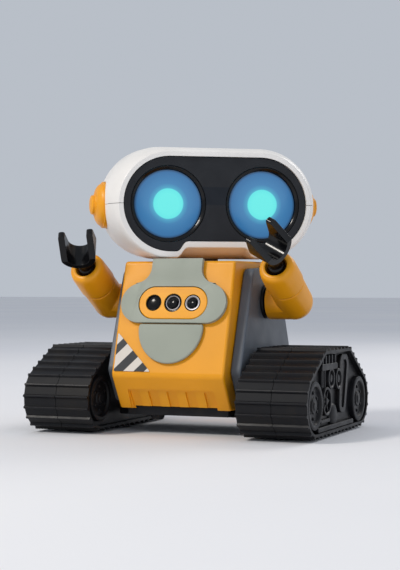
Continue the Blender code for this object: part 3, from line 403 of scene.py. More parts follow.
def show(obj, node, look, angle=38.0, keep_frame=False):
    """Finish a piece: it stands for a CAD node, rides with its body and gets the given look.

    Its mesh goes into the object's shared frame, unless its material reads its own frame."""
    apply(obj)
    if not keep_frame:
        obj.data.transform(obj.matrix_world)
        obj.matrix_world = Matrix()
    obj.data.materials.clear()
    obj.data.materials.append(look)
    obj.data.shade_smooth()
    obj.data.set_sharp_from_angle(angle=math.radians(angle))
    flat = obj.modifiers.new("Flat faces", "WEIGHTED_NORMAL")
    flat.keep_sharp = True
    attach(obj, BODY_OF[node])
    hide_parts(node)
    return obj


# ---------------------------------------------------------------- materials

def srgb(red, green, blue, strength=1.0):
    """Linear colour from the given 0 to 255 values."""
    values = []
    for value in (red, green, blue):
        share = value / 255
        linear = share / 12.92 if share <= 0.04045 else ((share + 0.055) / 1.055) ** 2.4
        values.append(min(linear * strength, 1.0))
    return (*values, 1)


def new_material(name):
    made = bpy.data.materials.new(name)
    made.use_nodes = True
    return made, made.node_tree.nodes, made.node_tree.links


def noise(nodes, links, place, scale, detail=4.0):
    made = nodes.new("ShaderNodeTexNoise")
    made.inputs["Scale"].default_value = scale
    made.inputs["Detail"].default_value = detail
    links.new(place.outputs["Object"], made.inputs["Vector"])
    return made.outputs["Fac"]


def remap(nodes, links, value, low, high, out_low, out_high):
    made = nodes.new("ShaderNodeMapRange")
    for name, number in (("From Min", low), ("From Max", high),
                         ("To Min", out_low), ("To Max", out_high)):
        made.inputs[name].default_value = number
    links.new(value, made.inputs["Value"])
    return made.outputs["Result"]


def mixed(nodes, links, factor, first, second):
    made = nodes.new("ShaderNodeMix")
    made.data_type = "RGBA"
    links.new(factor, made.inputs["Factor"])
    for socket, value in ((made.inputs[6], first), (made.inputs[7], second)):
        if isinstance(value, tuple):
            socket.default_value = value
        else:
            links.new(value, socket)
    return made.outputs[2]


def scaled(colour, amount):
    return (*(min(value * amount, 1.0) for value in colour[:3]), 1)


def moulded(name, colour, roughness, dirt=None, grain=0.10, edge_highlight=0.25, coat=0.0, metallic=0.0,
            specular=0.35):
    """Moulded plastic: mottled colour, fine grain, uneven gloss, and convex edges lightened as a
    painted highlight.
    """
    made, nodes, links = new_material(name)
    shader = nodes["Principled BSDF"]
    place = nodes.new("ShaderNodeTexCoord")
    cloud = remap(nodes, links, noise(nodes, links, place, 28.0), 0.3, 0.7, 0.0, 1.0)
    tone = mixed(nodes, links, cloud, scaled(colour, 0.93), scaled(colour, 1.05))
    if dirt is not None:
        patches = remap(nodes, links, noise(nodes, links, place, 55.0, 6.0), 0.52, 0.75, 0.0, 0.6)
        tone = mixed(nodes, links, patches, tone, dirt)
    geometry = nodes.new("ShaderNodeNewGeometry")
    # painted highlight: convex edges (high pointiness) are mixed towards a lighter copy of the
    # colour
    edges = remap(nodes, links, geometry.outputs["Pointiness"], 0.52, 0.62, 0.0, edge_highlight)
    tone = mixed(nodes, links, edges, tone, scaled(colour, 1.6))
    links.new(tone, shader.inputs["Base Color"])
    gloss = remap(nodes, links, noise(nodes, links, place, 90.0), 0.3, 0.7,
                  max(roughness - 0.06, 0.02), roughness + 0.08)
    links.new(gloss, shader.inputs["Roughness"])
    bump = nodes.new("ShaderNodeBump")
    bump.inputs["Strength"].default_value = grain
    bump.inputs["Distance"].default_value = 0.0001
    links.new(noise(nodes, links, place, 2200.0, 2.0), bump.inputs["Height"])
    links.new(bump.outputs["Normal"], shader.inputs["Normal"])
    shader.inputs["Metallic"].default_value = metallic
    shader.inputs["Coat Weight"].default_value = coat
    shader.inputs["Coat Roughness"].default_value = 0.12
    shader.inputs["Specular IOR Level"].default_value = specular
    return made


def math_node(nodes, links, operation, first, second=None):
    made = nodes.new("ShaderNodeMath")
    made.operation = operation
    for socket, value in zip(made.inputs, (first, second)):
        if value is None:
            continue
        if isinstance(value, (int, float)):
            socket.default_value = value
        else:
            links.new(value, socket)
    return made.outputs[0]


def band(nodes, links, value, low, high, softness):
    """1 where a value lies between two limits, with soft edges."""
    rise = remap(nodes, links, value, low - softness, low + softness, 0.0, 1.0)
    fall = remap(nodes, links, value, high - softness, high + softness, 1.0, 0.0)
    return math_node(nodes, links, "MULTIPLY", rise, fall)


def split_position(nodes, links):
    place = nodes.new("ShaderNodeTexCoord")
    parts = nodes.new("ShaderNodeSeparateXYZ")
    links.new(place.outputs["Object"], parts.inputs["Vector"])
    return place, parts.outputs


def glowing_lens(name):
    """Tinted lens: a lit cyan disc with a soft halo, on blue that deepens to the rim."""
    made, nodes, links = new_material(name)
    shader = nodes["Principled BSDF"]
    place, (x, y, _) = split_position(nodes, links)
    radius = math_node(nodes, links, "SQRT", math_node(
        nodes, links, "ADD", math_node(nodes, links, "MULTIPLY", x, x),
        math_node(nodes, links, "MULTIPLY", y, y)))
    uneven = remap(nodes, links, noise(nodes, links, place, 60.0), 0.3, 0.7, -0.00012, 0.00012)
    radius = math_node(nodes, links, "ADD", radius, uneven)
    share = math_node(nodes, links, "DIVIDE", radius, EYE_RADIUS * MM)
    ramp = nodes.new("ShaderNodeValToRGB")
    stops = ((0.0, PUPIL_CORE), (0.30, PUPIL_CORE), (0.435, PUPIL_EDGE), (0.465, HALO),
             (0.60, EYE_BLUE), (0.93, EYE_DEEP), (1.0, EYE_RIM))
    for index, (position, colour) in enumerate(stops):
        stop = ramp.color_ramp.elements[index] if index < 2 else ramp.color_ramp.elements.new(1.0)
        stop.position = position
        stop.color = colour
    links.new(share, ramp.inputs["Fac"])
    links.new(ramp.outputs["Color"], shader.inputs["Emission Color"])
    shader.inputs["Emission Strength"].default_value = LAMP_STRENGTH
    links.new(mixed(nodes, links, share, EYE_RIM, EYE_BASE), shader.inputs["Base Color"])
    gloss = remap(nodes, links, noise(nodes, links, place, 120.0), 0.3, 0.7, 0.10, 0.18)
    links.new(gloss, shader.inputs["Roughness"])
    shader.inputs["Specular IOR Level"].default_value = 0.3
    return made


def visor_plastic(name):
    """Smoked visor with a darker band between the eyes."""
    made = moulded(name, VISOR_DARK, 0.34, grain=0.03, edge_highlight=0.1, specular=0.2)
    nodes, links = made.node_tree.nodes, made.node_tree.links
    shader = nodes["Principled BSDF"]
    _, (x, y, _) = split_position(nodes, links)
    tone = shader.inputs["Base Color"].links[0].from_socket
    across = band(nodes, links, x, -0.0085, 0.0085, 0.0006)
    upright = band(nodes, links, y, -0.0005, 0.0104, 0.0003)
    mask = math_node(nodes, links, "MULTIPLY", across, upright)
    links.new(mixed(nodes, links, mask, tone, VISOR_BAND), shader.inputs["Base Color"])
    return made


def striped_film(name):
    """Printed film: dark slanting stripes on cream, a little rubbed."""
    made = moulded(name, FILM_CREAM, 0.42, grain=0.05, edge_highlight=0.0)
    nodes, links = made.node_tree.nodes, made.node_tree.links
    shader = nodes["Principled BSDF"]
    _, (x, _, z) = split_position(nodes, links)
    slant = math_node(nodes, links, "SUBTRACT", z, x)
    mask = None
    for low, high in DECAL_STRIPES:
        stripe = band(nodes, links, slant, low * MM, high * MM, 0.0001)
        mask = stripe if mask is None else math_node(nodes, links, "MAXIMUM", mask, stripe)
    tone = shader.inputs["Base Color"].links[0].from_socket
    links.new(mixed(nodes, links, mask, tone, FILM_DARK), shader.inputs["Base Color"])
    return made


PUPIL_CORE = srgb(105, 238, 228)
PUPIL_EDGE = srgb(98, 232, 226)
HALO = srgb(72, 160, 190)
EYE_BLUE = srgb(60, 122, 168)
EYE_DEEP = srgb(46, 102, 152)
EYE_RIM = srgb(24, 50, 80)
EYE_BASE = srgb(26, 58, 84)
VISOR_DARK = srgb(27, 28, 32)
VISOR_BAND = srgb(9, 16, 26)
FILM_CREAM = srgb(214, 205, 194)
FILM_DARK = srgb(38, 40, 44)
LAMP_STRENGTH = 0.93

YELLOW = moulded("yellow_look", srgb(234, 156, 16), 0.38, grain=0.08, edge_highlight=0.2, coat=0.06)
GREY = moulded("side_grey_look", srgb(90, 96, 104), 0.45)
CHEST = moulded("chest_grey_look", srgb(148, 153, 140), 0.48)
WHITE = moulded("white_look", srgb(236, 232, 227), 0.36, grain=0.05, edge_highlight=0.1, coat=0.1)
BLACK = moulded("black_look", srgb(20, 20, 23), 0.40, dirt=srgb(36, 32, 27), edge_highlight=0.4,
                specular=0.22)
GLOSS = moulded("gloss_black_look", srgb(10, 10, 12), 0.2, grain=0.03, edge_highlight=0.2, coat=0.15,
                specular=0.2)
SILVER = moulded("silver_look", srgb(150, 146, 148), 0.42, metallic=0.8, grain=0.02)
STEEL = moulded("steel_look", srgb(190, 192, 196), 0.28, metallic=1.0, grain=0.05)
RUBBER = moulded("rubber_look", srgb(26, 26, 26), 0.75, grain=0.3, edge_highlight=0.3)
IVORY = moulded("ivory_look", srgb(222, 216, 198), 0.45)
BOARD = moulded("board_look", srgb(22, 92, 48), 0.4, dirt=srgb(60, 110, 50))
WRAP = moulded("wrap_look", srgb(36, 76, 150), 0.3)
EYES = glowing_lens("eye_lens_look")
VISOR = visor_plastic("visor_look")
FILM = striped_film("film_look")


# ---------------------------------------------------------------- body

def wall_frame(low, high, z, outwards):
    """Frame on a wall whose foot and head are (y, z): Y runs up it, Z points outwards."""
    y = low[0] + (high[0] - low[0]) * (z - low[1]) / (high[1] - low[1])
    up = Vector((0, high[0] - low[0], high[1] - low[1]))
    return axes((0, y, z), X_AXIS * -outwards, up)


SIDE = axes((0, 0, 0), Y_AXIS, Z_AXIS)
FRONT = wall_frame(BODY_CHIN, BODY_TOP_FRONT, CHEST_Z, -1)
SKIRT = wall_frame(BODY_SKIRT, BODY_CHIN, 22.0, -1)
NECK = Vector(JOINTS["neck_turn"]["pos_m"]) / MM
SHOULDER = {side: Vector(JOINTS["shoulder_" + word]["pos_m"]) / MM for side, word in SIDES}


def side_slab(name, outline, side, near, far):
    low, high = sorted((side * near, side * far))
    return slab(name, outline, low, high, SIDE)


def body_half(name, keep_front):
    """Hollow half of the body, split at the neck: the front shell or the rear cover."""
    shell = slab(name, rounded(BODY_PROFILE), -BODY_HALF_WIDTH, BODY_HALF_WIDTH, SIDE)
    bevel(shell, BODY_EDGE, 4)
    hollow = [list(corner) for corner in inset(BODY_PROFILE, BODY_WALL)]
    for corner, above in ((hollow[2], hollow[1]), (hollow[3], hollow[4])):
        slope = (corner[0] - above[0]) / (corner[1] - above[1])
        corner[0] += slope * (BODY_ROOM_FOOT - corner[1])
        corner[1] = BODY_ROOM_FOOT
    room = slab("room", rounded(hollow), -BODY_HALF_WIDTH + BODY_WALL,
                BODY_HALF_WIDTH - BODY_WALL, SIDE)
    y = NECK.y + (CUTTER_SIZE / 2 - GAP / 2) * (1 if keep_front else -1)
    other_half = block("half", (CUTTER_SIZE, CUTTER_SIZE, CUTTER_SIZE), (0, y, 60))
    neck_hole = rod("neck_hole", NECK_HOLE_RADIUS, (0, NECK.y, 95), (0, NECK.y, 110))
    cut(shell, room, other_half, neck_hole)
    if keep_front:
        here = SHOULDER[1]
        cut(shell, rod("shaft_hole", SHAFT_RADIUS + GAP, (-40, here.y, here.z),
                       (40, here.y, here.z)))
    return shell


def front_shell():
    """Front half with the recessed, slotted skirt."""
    shell = body_half("front_shell_look", True)
    recess = rounded(((-29, -12, 0.5), (29, -12, 0.5), (27.5, 6.6, 1.5), (-27.5, 6.6, 1.5)))
    cut(shell, slab("recess", recess, -0.9, 3, SKIRT))
    for index in range(SKIRT_SLOT_COUNT):
        x = (index - 2) * SKIRT_SLOT_PITCH
        left, right = x - SKIRT_SLOT_HALF_WIDTH, x + SKIRT_SLOT_HALF_WIDTH
        outline = rounded(((left, -12, 0.3), (right, -12, 0.3),
                           (right, 4.8, 1.0), (left, 4.8, 1.0)))
        cut(shell, slab("slot", outline, -1.9, 3, SKIRT))
    cut(shell, block("foot", (53, 30, 4), (0, -40, 15.0)))
    show(shell, "front_shell", YELLOW)


def rear_cover():
    """Rear half with its battery door, grille, switch and socket openings."""
    cover = body_half("rear_cover_look", False)
    lower = wall_frame(BODY_HEEL, BODY_BACK, 36.0, 1)
    upper = wall_frame(BODY_BACK, BODY_TOP_REAR, 82.0, 1)
    cut(cover, block("door", DOOR_OPENING, (0, 0, 0), lower))
    for index in range(GRILLE_SLOT_COUNT):
        place = upper @ shift(0, (index - 2) * GRILLE_SLOT_PITCH)
        cut(cover, slab("grille", pill(7, 0.7, 8), -6, 6, place))
    cut(cover, block("switch", (9, 5, 12), (-BACK_FITTING_X, 0, 0), upper))
    cut(cover, rod("socket", 3.6, upper @ Vector((BACK_FITTING_X, 0, -6)),
                   upper @ Vector((BACK_FITTING_X, 0, 6))))
    show(cover, "rear_cover", YELLOW)


def side_panel(side, word):
    """Grey panel on one side of the body, and the hub the arm turns in."""
    near = BODY_HALF_WIDTH + GAP
    far = near + PANEL_THICKNESS
    here = SHOULDER[side]
    panel = side_slab("side_panel_look_" + word, rounded(PANEL_OUTLINE), side, near, far)
    bevel(panel, 1.3, 4)
    pocket = side_slab("pocket", rounded(inset(PANEL_OUTLINE, PANEL_WALL)), side, near - 1,
                       far - PANEL_WALL)
    bore = rod("bore", SHAFT_RADIUS + GAP, (side * 30, here.y, here.z), (side * 50, here.y, here.z))
    show(cut(panel, pocket, bore), "side_panel_" + word, GREY)
    at = axes((side * (far + GAP), here.y, here.z), Y_AXIS, Z_AXIS * side)
    profile = ((SHAFT_RADIUS + GAP, 2.3), (8.4, 2.3), (8.9, 2.1), (9.2, 1.7), (9.9, 1.7),
               (10.3, 1.5), (10.5, 1.1), (10.5, 0), (SHAFT_RADIUS + GAP, 0))
    show(turned("shoulder_hub_look_" + word, profile, at), "shoulder_hub_" + word, BLACK)


def chest():
    """Chest plate, tongue, and the sensor bezel with its lenses and rings."""
    flare_x = NECK_PLATE_HALF_WIDTH + NECK_FLARE
    flare_v = CHEST_RADIUS + NECK_FLARE
    span = CHEST_HALF_WIDTH - CHEST_RADIUS
    outline = arc((span, 0), CHEST_RADIUS, -90, 78, 28)
    outline += arc((flare_x, flare_v), NECK_FLARE, 270, 180, 14)
    outline += [(NECK_PLATE_HALF_WIDTH, NECK_PLATE_TOP), (-NECK_PLATE_HALF_WIDTH, NECK_PLATE_TOP)]
    outline += arc((-flare_x, flare_v), NECK_FLARE, 0, -90, 14)
    outline += arc((-span, 0), CHEST_RADIUS, 102, 270, 28)
    plate = bevel(slab("chest_plate_look", outline, GAP, 3.1, FRONT), 0.8, 4)
    window = slab("window", pill(BEZEL_HALF_WIDTH + GAP, BEZEL_RADIUS + GAP), -2, 5, FRONT)
    show(cut(plate, window), "chest_plate", CHEST)

    depth = TONGUE_SHOULDER - TONGUE_BOTTOM
    shoulder = TONGUE_HALF_WIDTH - 0.5
    outline = [(shoulder, TONGUE_TOP - GAP), (-shoulder, TONGUE_TOP - GAP)]
    for step in range(41):
        angle = math.pi + math.pi * step / 40
        outline.append((TONGUE_HALF_WIDTH * math.cos(angle),
                        TONGUE_SHOULDER + depth * math.sin(angle)))
    tongue = bevel(slab("chest_tongue_look", outline, GAP, GAP + 2.1, FRONT), 0.7, 4)
    show(tongue, "chest_tongue", CHEST)

    outline = pill(BEZEL_HALF_WIDTH, BEZEL_RADIUS)
    bezel = bevel(slab("sensor_bezel_look", outline, GAP, 2.9, FRONT), 0.7, 4)
    for index, radius in enumerate(LENS_RADII):
        x = (index - 1) * LENS_SPACING
        cut(bezel, rod("hole", radius + GAP, FRONT @ Vector((x, 0, -2)), FRONT @ Vector((x, 0, 6))))
    show(bezel, "sensor_bezel", YELLOW)

    for index, radius in enumerate(LENS_RADII):
        at = FRONT @ shift((index - 1) * LENS_SPACING, 0, GAP)
        word = LENS_NAMES[index]
        if RING_OUTER[index] is None:
            profile = [(0, 2.5), (radius * 0.2, 2.48), (radius * 0.4, 2.4), (radius * 0.6, 2.2),
                       (radius * 0.78, 1.9), (radius * 0.82, 1.6), (radius * 0.86, 1.6),
                       (radius * 0.90, 2.3), (radius - 0.15, 2.4), (radius, 2.2),
                       (radius, 0), (0, 0)]
        else:
            groove_in = RING_INNER[index] - GAP
            groove_out = RING_OUTER[index] + GAP
            profile = [(0, 1.7), (groove_in * 0.4, 1.62), (groove_in * 0.62, 1.3),
                       (groove_in * 0.66, 1.0), (groove_in * 0.74, 1.1), (groove_in, 1.9),
                       (groove_in, 1.0), (groove_out, 1.0), (groove_out, 2.3), (radius - 0.1, 2.4),
                       (radius, 2.2), (radius, 0), (0, 0)]
            inner, outer = RING_INNER[index], RING_OUTER[index]
            ring = ((inner, 2.0), (inner + 0.1, 2.3), (inner + 0.25, 2.4), (outer - 0.1, 2.4),
                    (outer, 2.3), (outer, 1.3), (inner, 1.3))
            show(turned("sensor_ring_look_" + word, ring, at), "sensor_ring_" + word, SILVER)
        show(turned("sensor_lens_look_" + word, profile, at), "sensor_lens_" + word, GLOSS)


def decal():
    """Striped film on the lower corner of the front wall."""
    left = -BODY_HALF_WIDTH + BODY_EDGE
    bottom = (DECAL_FOOT_Z - CHEST_Z) / FRONT.col[1][2]
    outline = rounded(((left, bottom, 0.4), (left + DECAL_SIZE, bottom, 0.4),
                       (left, bottom + DECAL_SIZE, 0.4)), 15)
    show(slab("decal_look", outline, GAP, GAP + 0.25, FRONT), "hazard_decal", FILM)


# ---------------------------------------------------------------- head

HEAD = Matrix.Translation((0, NECK.y, EYE_Z)) @ Matrix.Rotation(HEAD_YAW, 4, "Z")


def goggle(half_width, half_height, centre_z, notch, arc_steps=30):
    """A goggle outline: round ends, a straight top, and a raised bridge in the bottom."""
    span = half_width - half_height
    low = centre_z - half_height
    outline = arc((span, centre_z), half_height, -90, 90, arc_steps)
    outline += arc((-span, centre_z), half_height, 90, 270, arc_steps)
    shares = ((0.0, 0.0), (0.17, 0.06), (0.34, 0.22), (0.5, 0.5), (0.66, 0.78), (0.83, 0.94),
              (1.0, 1.0))
    width = NOTCH_OUTER - NOTCH_INNER
    rise = [(NOTCH_OUTER - along * width, low + notch * up) for along, up in shares]
    return outline + [(-x, z) for x, z in rise] + list(reversed(rise))


def loft(name, sections, matrix):
    """Solid through outlines with equal numbers of points, each at its own depth."""
    bm = bmesh.new()
    rings = [[bm.verts.new((x, y, z)) for x, z in outline] for y, outline in sections]
    for near, far in zip(rings, rings[1:]):
        for index, vert in enumerate(near):
            bm.faces.new((near[index - 1], vert, far[index], far[index - 1]))
    bm.faces.new(rings[0])
    bm.faces.new(list(reversed(rings[-1])))
    return local_object(name, bm, matrix)


def head_shell(node, keep_top):
    """Upper or lower half of the head, open at the visor, ears and neck."""
    shell = loft(node + "_look", [(y, goggle(w, h, z, n)) for y, w, h, z, n in HEAD_SECTIONS], HEAD)
    rim = goggle(VISOR_HALF_WIDTH + GAP, VISOR_HALF_HEIGHT + GAP, 0, VISOR_NOTCH)
    inside = [(-40.0, rim), (-25.5, rim)]
    for y, width, height, z, notch in HEAD_SECTIONS[6:]:
        wall = HEAD_WALL + (0.6 if y < -15 else 0.0)
        depth = y if y < 30 else 29.0 + (y - 30) * 0.35
        inside.append((depth, goggle(width - wall, height - wall, z, notch * 1.1)))
    tall = 80.0
    sign = -1 if keep_top else 1
    half = block("half", (CUTTER_SIZE, CUTTER_SIZE, tall), (0, 0, sign * (tall / 2 - GAP / 2)), HEAD)
    ears = rod("ears", EAR_RADIUS + GAP, HEAD @ Vector((-90, EAR_Y, EAR_Z)),
               HEAD @ Vector((90, EAR_Y, EAR_Z)))
    cut(shell, loft("room", inside, HEAD), half, ears)
    if not keep_top:
        cut(shell, rod("neck_hole", HEAD_HOLE_RADIUS, (0, NECK.y, 100), (0, NECK.y, 115)))
    show(shell, node, WHITE, 30.0)


def head():
    """Head shells, visor, lit eyes with their rings, and the ears."""
    head_shell("head_top_shell", True)
    head_shell("head_bottom_shell", False)
    front = axes(HEAD @ Vector((0, VISOR_FRONT_Y, 0)), HEAD.to_3x3() @ X_AXIS, Z_AXIS)
    outline = goggle(VISOR_HALF_WIDTH, VISOR_HALF_HEIGHT, 0, VISOR_NOTCH)
    visor = slab("visor_look", outline, -2, 0, front)
    bevel(visor, 0.4, 2, 60)
    for side in (1, -1):
        cut(visor, rod("hole", EYE_RING_RADIUS + GAP, front @ Vector((side * EYE_X, 0, -8)),
                       front @ Vector((side * EYE_X, 0, 8)), steps=96))
    show(visor, "visor", VISOR, keep_frame=True)
    for side, word in SIDES:
        eye = front @ shift(side * EYE_X, 0)
        outer, inner = EYE_RING_RADIUS, EYE_RADIUS + GAP
        ring = ((inner, -1.3), (inner + 0.3, -0.9), (outer - 0.8, -0.1), (outer - 0.4, 0.1),
                (outer - 0.1, 0.0), (outer, -0.3), (outer, -4.2), (EYE_RADIUS - 1.6, -4.2),
                (EYE_RADIUS - 1.6, -3.4), (inner, -3.4))
        show(turned("eye_ring_look_" + word, ring, eye, 96), "eye_ring_" + word, GLOSS)
        lens = [(EYE_RADIUS * share, -0.9 - 1.1 * share ** 2.4)
                for share in (0, 0.15, 0.3, 0.45, 0.6, 0.72, 0.82, 0.9, 0.96, 1.0)]
        lens += [(EYE_RADIUS, -3.1), (0, -3.1)]
        show(turned("eye_lens_look_" + word, lens, eye, 96), "eye_lens_" + word, EYES,
             keep_frame=True)
        out = HEAD @ axes((side * 57.0, EAR_Y, EAR_Z), Y_AXIS, Z_AXIS * side)
        ear = ((0, 15.8), (2.2, 15.75), (4.2, 15.5), (5.4, 15.1), (5.9, 14.6), (6.1, 13.4),
               (6.9, 13.1), (7.2, 12.7), (8.6, 12.5), (10.0, 12.0), (11.4, 11.1), (12.5, 10.1),
               (13.2, 9.0), (13.4, 8.4), (14.0, 8.3), (EAR_RADIUS, 8.0), (EAR_RADIUS, 0),
               (11.8, 0), (11.8, 6), (0, 6))
        show(turned("ear_look_" + word, ear, out, 80), "ear_" + word, YELLOW, 30.0)


# ---------------------------------------------------------------- arms

def arm(side, word):
    """Bent upper arm and the cuff that carries the claw."""
    elbow = SHOULDER[side]
    forward = Vector(JOINTS["claw_turn_" + word]["axis"]).normalized()
    at = axes(elbow, X_AXIS, forward.cross(X_AXIS))
    upper = ball("upper_arm_look_" + word, ARM_RADIUS + 0.1, elbow)
    stub = bevel(rod("stub", ARM_RADIUS, elbow, (side * 46.0, elbow.y, elbow.z)), 0.5)
    fore = bevel(rod("fore", ARM_RADIUS, elbow, at @ Vector((0, 0, CUFF_START - GAP))), 0.9)
    shaft = rod("shaft", SHAFT_RADIUS, (side * 48, elbow.y, elbow.z), (side * 30, elbow.y, elbow.z))
    pin = rod("pin", CUFF_PIN_RADIUS, at @ Vector((0, 0, 15)),
              at @ Vector((0, 0, CUFF_START + CUFF_PIN_LENGTH)))
    show(weld(upper, stub, fore, shaft, pin), "upper_arm_" + word, YELLOW, 30.0)

    mouth = CUFF_END - 9.5
    bottom = CUFF_START + CUFF_PIN_LENGTH + GAP
    profile = ((CUFF_SOCKET_RADIUS, CUFF_END - 1.0), (6.8, CUFF_END - 0.3), (7.4, CUFF_END),
               (8.3, CUFF_END - 0.05), (9.2, CUFF_END - 0.4), (9.9, CUFF_END - 0.9),
               (10.4, CUFF_END - 1.8), (10.7, CUFF_END - 3.0), (11.0, CUFF_END - 4.8),
               (11.25, CUFF_START + 8), (11.4, CUFF_START + 2.0), (11.25, CUFF_START + 1.0),
               (10.7, CUFF_START + 0.3), (10.0, CUFF_START), (CUFF_PIN_RADIUS + GAP, CUFF_START),
               (CUFF_PIN_RADIUS + GAP, bottom), (1.5, bottom), (1.5, mouth),
               (CUFF_SOCKET_RADIUS, mouth))
    show(turned("arm_cuff_look_" + word, profile, at, 80), "arm_cuff_" + word, YELLOW, 30.0)
    claw(side, word, at)


def claw(side, word, arm_at):
    """C-shaped claw with slanted tips, leaning on its ball."""
    centre = Vector((0, 0, CLAW_BALL))
    at = arm_at @ Matrix.Rotation(CLAW_TWIST[side], 4, "Z") @ Matrix.Translation(centre)
    at = at @ Matrix.Rotation(CLAW_LEAN, 4, "Y") @ Matrix.Translation(-centre)
    palm = axes(at.to_translation(), at.to_3x3() @ X_AXIS, at.to_3x3() @ Z_AXIS)
    outer = CLAW_HALF_SPAN
    bend = CLAW_BACK + outer
    inner = outer - CLAW_FINGER
    outline = arc((0, bend), outer, 180, 360, 40)
    outline += arc((outer - 1.4, CLAW_TIP - 1.4), 1.4, 0, 90, 4)
    outline += arc((inner + 1.4, CLAW_TIP - 1.4), 1.4, 90, 180, 4)
    outline += arc((0, bend - 0.6), inner, 0, -180, 32)
    outline += arc((-inner - 1.4, CLAW_TIP - 1.4), 1.4, 0, 90, 4)
    outline += arc((-outer + 1.4, CLAW_TIP - 1.4), 1.4, 90, 180, 4)
    hand = slab("claw_look_" + word, outline, -CLAW_HALF_DEPTH, CLAW_HALF_DEPTH, palm)
    slope = (CLAW_SLANT_START - CLAW_TIP) / (CLAW_HALF_DEPTH - CLAW_TIP_DEPTH)
    past = CLAW_HALF_DEPTH + 2
    slant = ((CLAW_TIP_DEPTH + 1 / slope, CLAW_TIP + 1),
             (past, CLAW_TIP + slope * (past - CLAW_TIP_DEPTH)), (past, CLAW_TIP + 1))
    across = axes(palm.to_translation(), palm.to_3x3() @ Z_AXIS, palm.to_3x3() @ Y_AXIS)
    cut(hand, slab("slant", slant, -outer - 1, outer + 1, across))
    bevel(hand, 0.6, 3, 55)
    neck = rod("neck", 3.8, at @ centre, at @ Vector((0, 0, CLAW_BACK + 3)), 5.2)
    show(weld(hand, neck, ball("root", CLAW_BALL_RADIUS, at @ centre)), "claw_" + word, GLOSS, 35.0)


# ---------------------------------------------------------------- track pods

def walk(outline, distance):
    """Point and normal at a distance along a closed outline."""
    for index, end in enumerate(outline):
        start = Vector(outline[index - 1])
        along = Vector(end) - start
        if distance <= along.length:
            unit = along.normalized()
            return start + unit * distance, Vector((-unit.y, unit.x))
        distance -= along.length
    return Vector(outline[-1]), Vector((0, 1))


def belt_outline():
    """Pod outline with ridges at an even pitch."""
    tips = rounded(POD_OUTLINE, 4.0)
    total = sum((Vector(a) - Vector(b)).length for a, b in zip(tips, tips[1:] + tips[:1]))
    pitch = total / RIDGE_COUNT
    points = []
    for index in range(RIDGE_COUNT):
        for offset, depth in RIDGE_SHAPE:
            point, normal = walk(tips, pitch * (index + 0.5) + offset)
            points.append(tuple(point + normal * depth))
    return points


def pod_half(name, side, near, far, face):
    """Hollow half of a pod, with a recessed face."""
    half = side_slab(name, belt_outline(), side, near, far)
    step = 1 if face == far else -1
    seam = near if face == far else far
    room = side_slab("room", rounded(inset(POD_OUTLINE, 4.0)), side, seam - step,
                     face - step * POD_ROOM_DEPTH)
    dish = side_slab("dish", rounded(inset(POD_OUTLINE, RIDGE_HEIGHT + 1.7)), side,
                     face - step * FACE_RECESS, face + step)
    return cut(half, room, dish)


def face_frame(side, y, z, x):
    """Frame on a pod's face: Z points away from the pod's middle when x grows outwards."""
    return axes((side * x, y, z), Y_AXIS, Z_AXIS * side)


def road_wheel(side, y, z, radius, base):
    """A moulded wheel: tyre ring, dished disc, six bolt heads and a hub."""
    floor = -0.3
    profile = ((0, 2.9), (2.2, 2.85), (2.6, 2.4), (3.4, 2.2), (4.4, 2.2), (4.8, 1.4),
               (radius * 0.66, 1.2), (radius * 0.74, 1.5), (radius * 0.78, 2.8),
               (radius * 0.83, 3.15), (radius * 0.93, 3.15), (radius * 0.98, 2.8),
               (radius, 2.2), (radius, floor), (0, floor))
    at = face_frame(side, y, z, base)
    parts = [turned("wheel", profile, at)]
    for index in range(6):
        angle = math.tau * (index + 0.5) / 6
        spot = shift(radius * 0.52 * math.cos(angle), radius * 0.52 * math.sin(angle))
        bolt = ((0, 2.2), (0.7, 2.1), (1.0, 1.8), (1.05, 0.5), (0, 0.5))
        parts.append(turned("bolt", bolt, at @ spot, 20))
    return parts


def raised(side, outline, base, top, edge=0.5):
    return bevel(side_slab("raised", outline, side, base, top), edge, 3)


def plank(y0, z0, y1, z1, radius=0.5):
    return rounded(((y0, z1, radius), (y0, z0, radius), (y1, z0, radius), (y1, z1, radius)), 15)


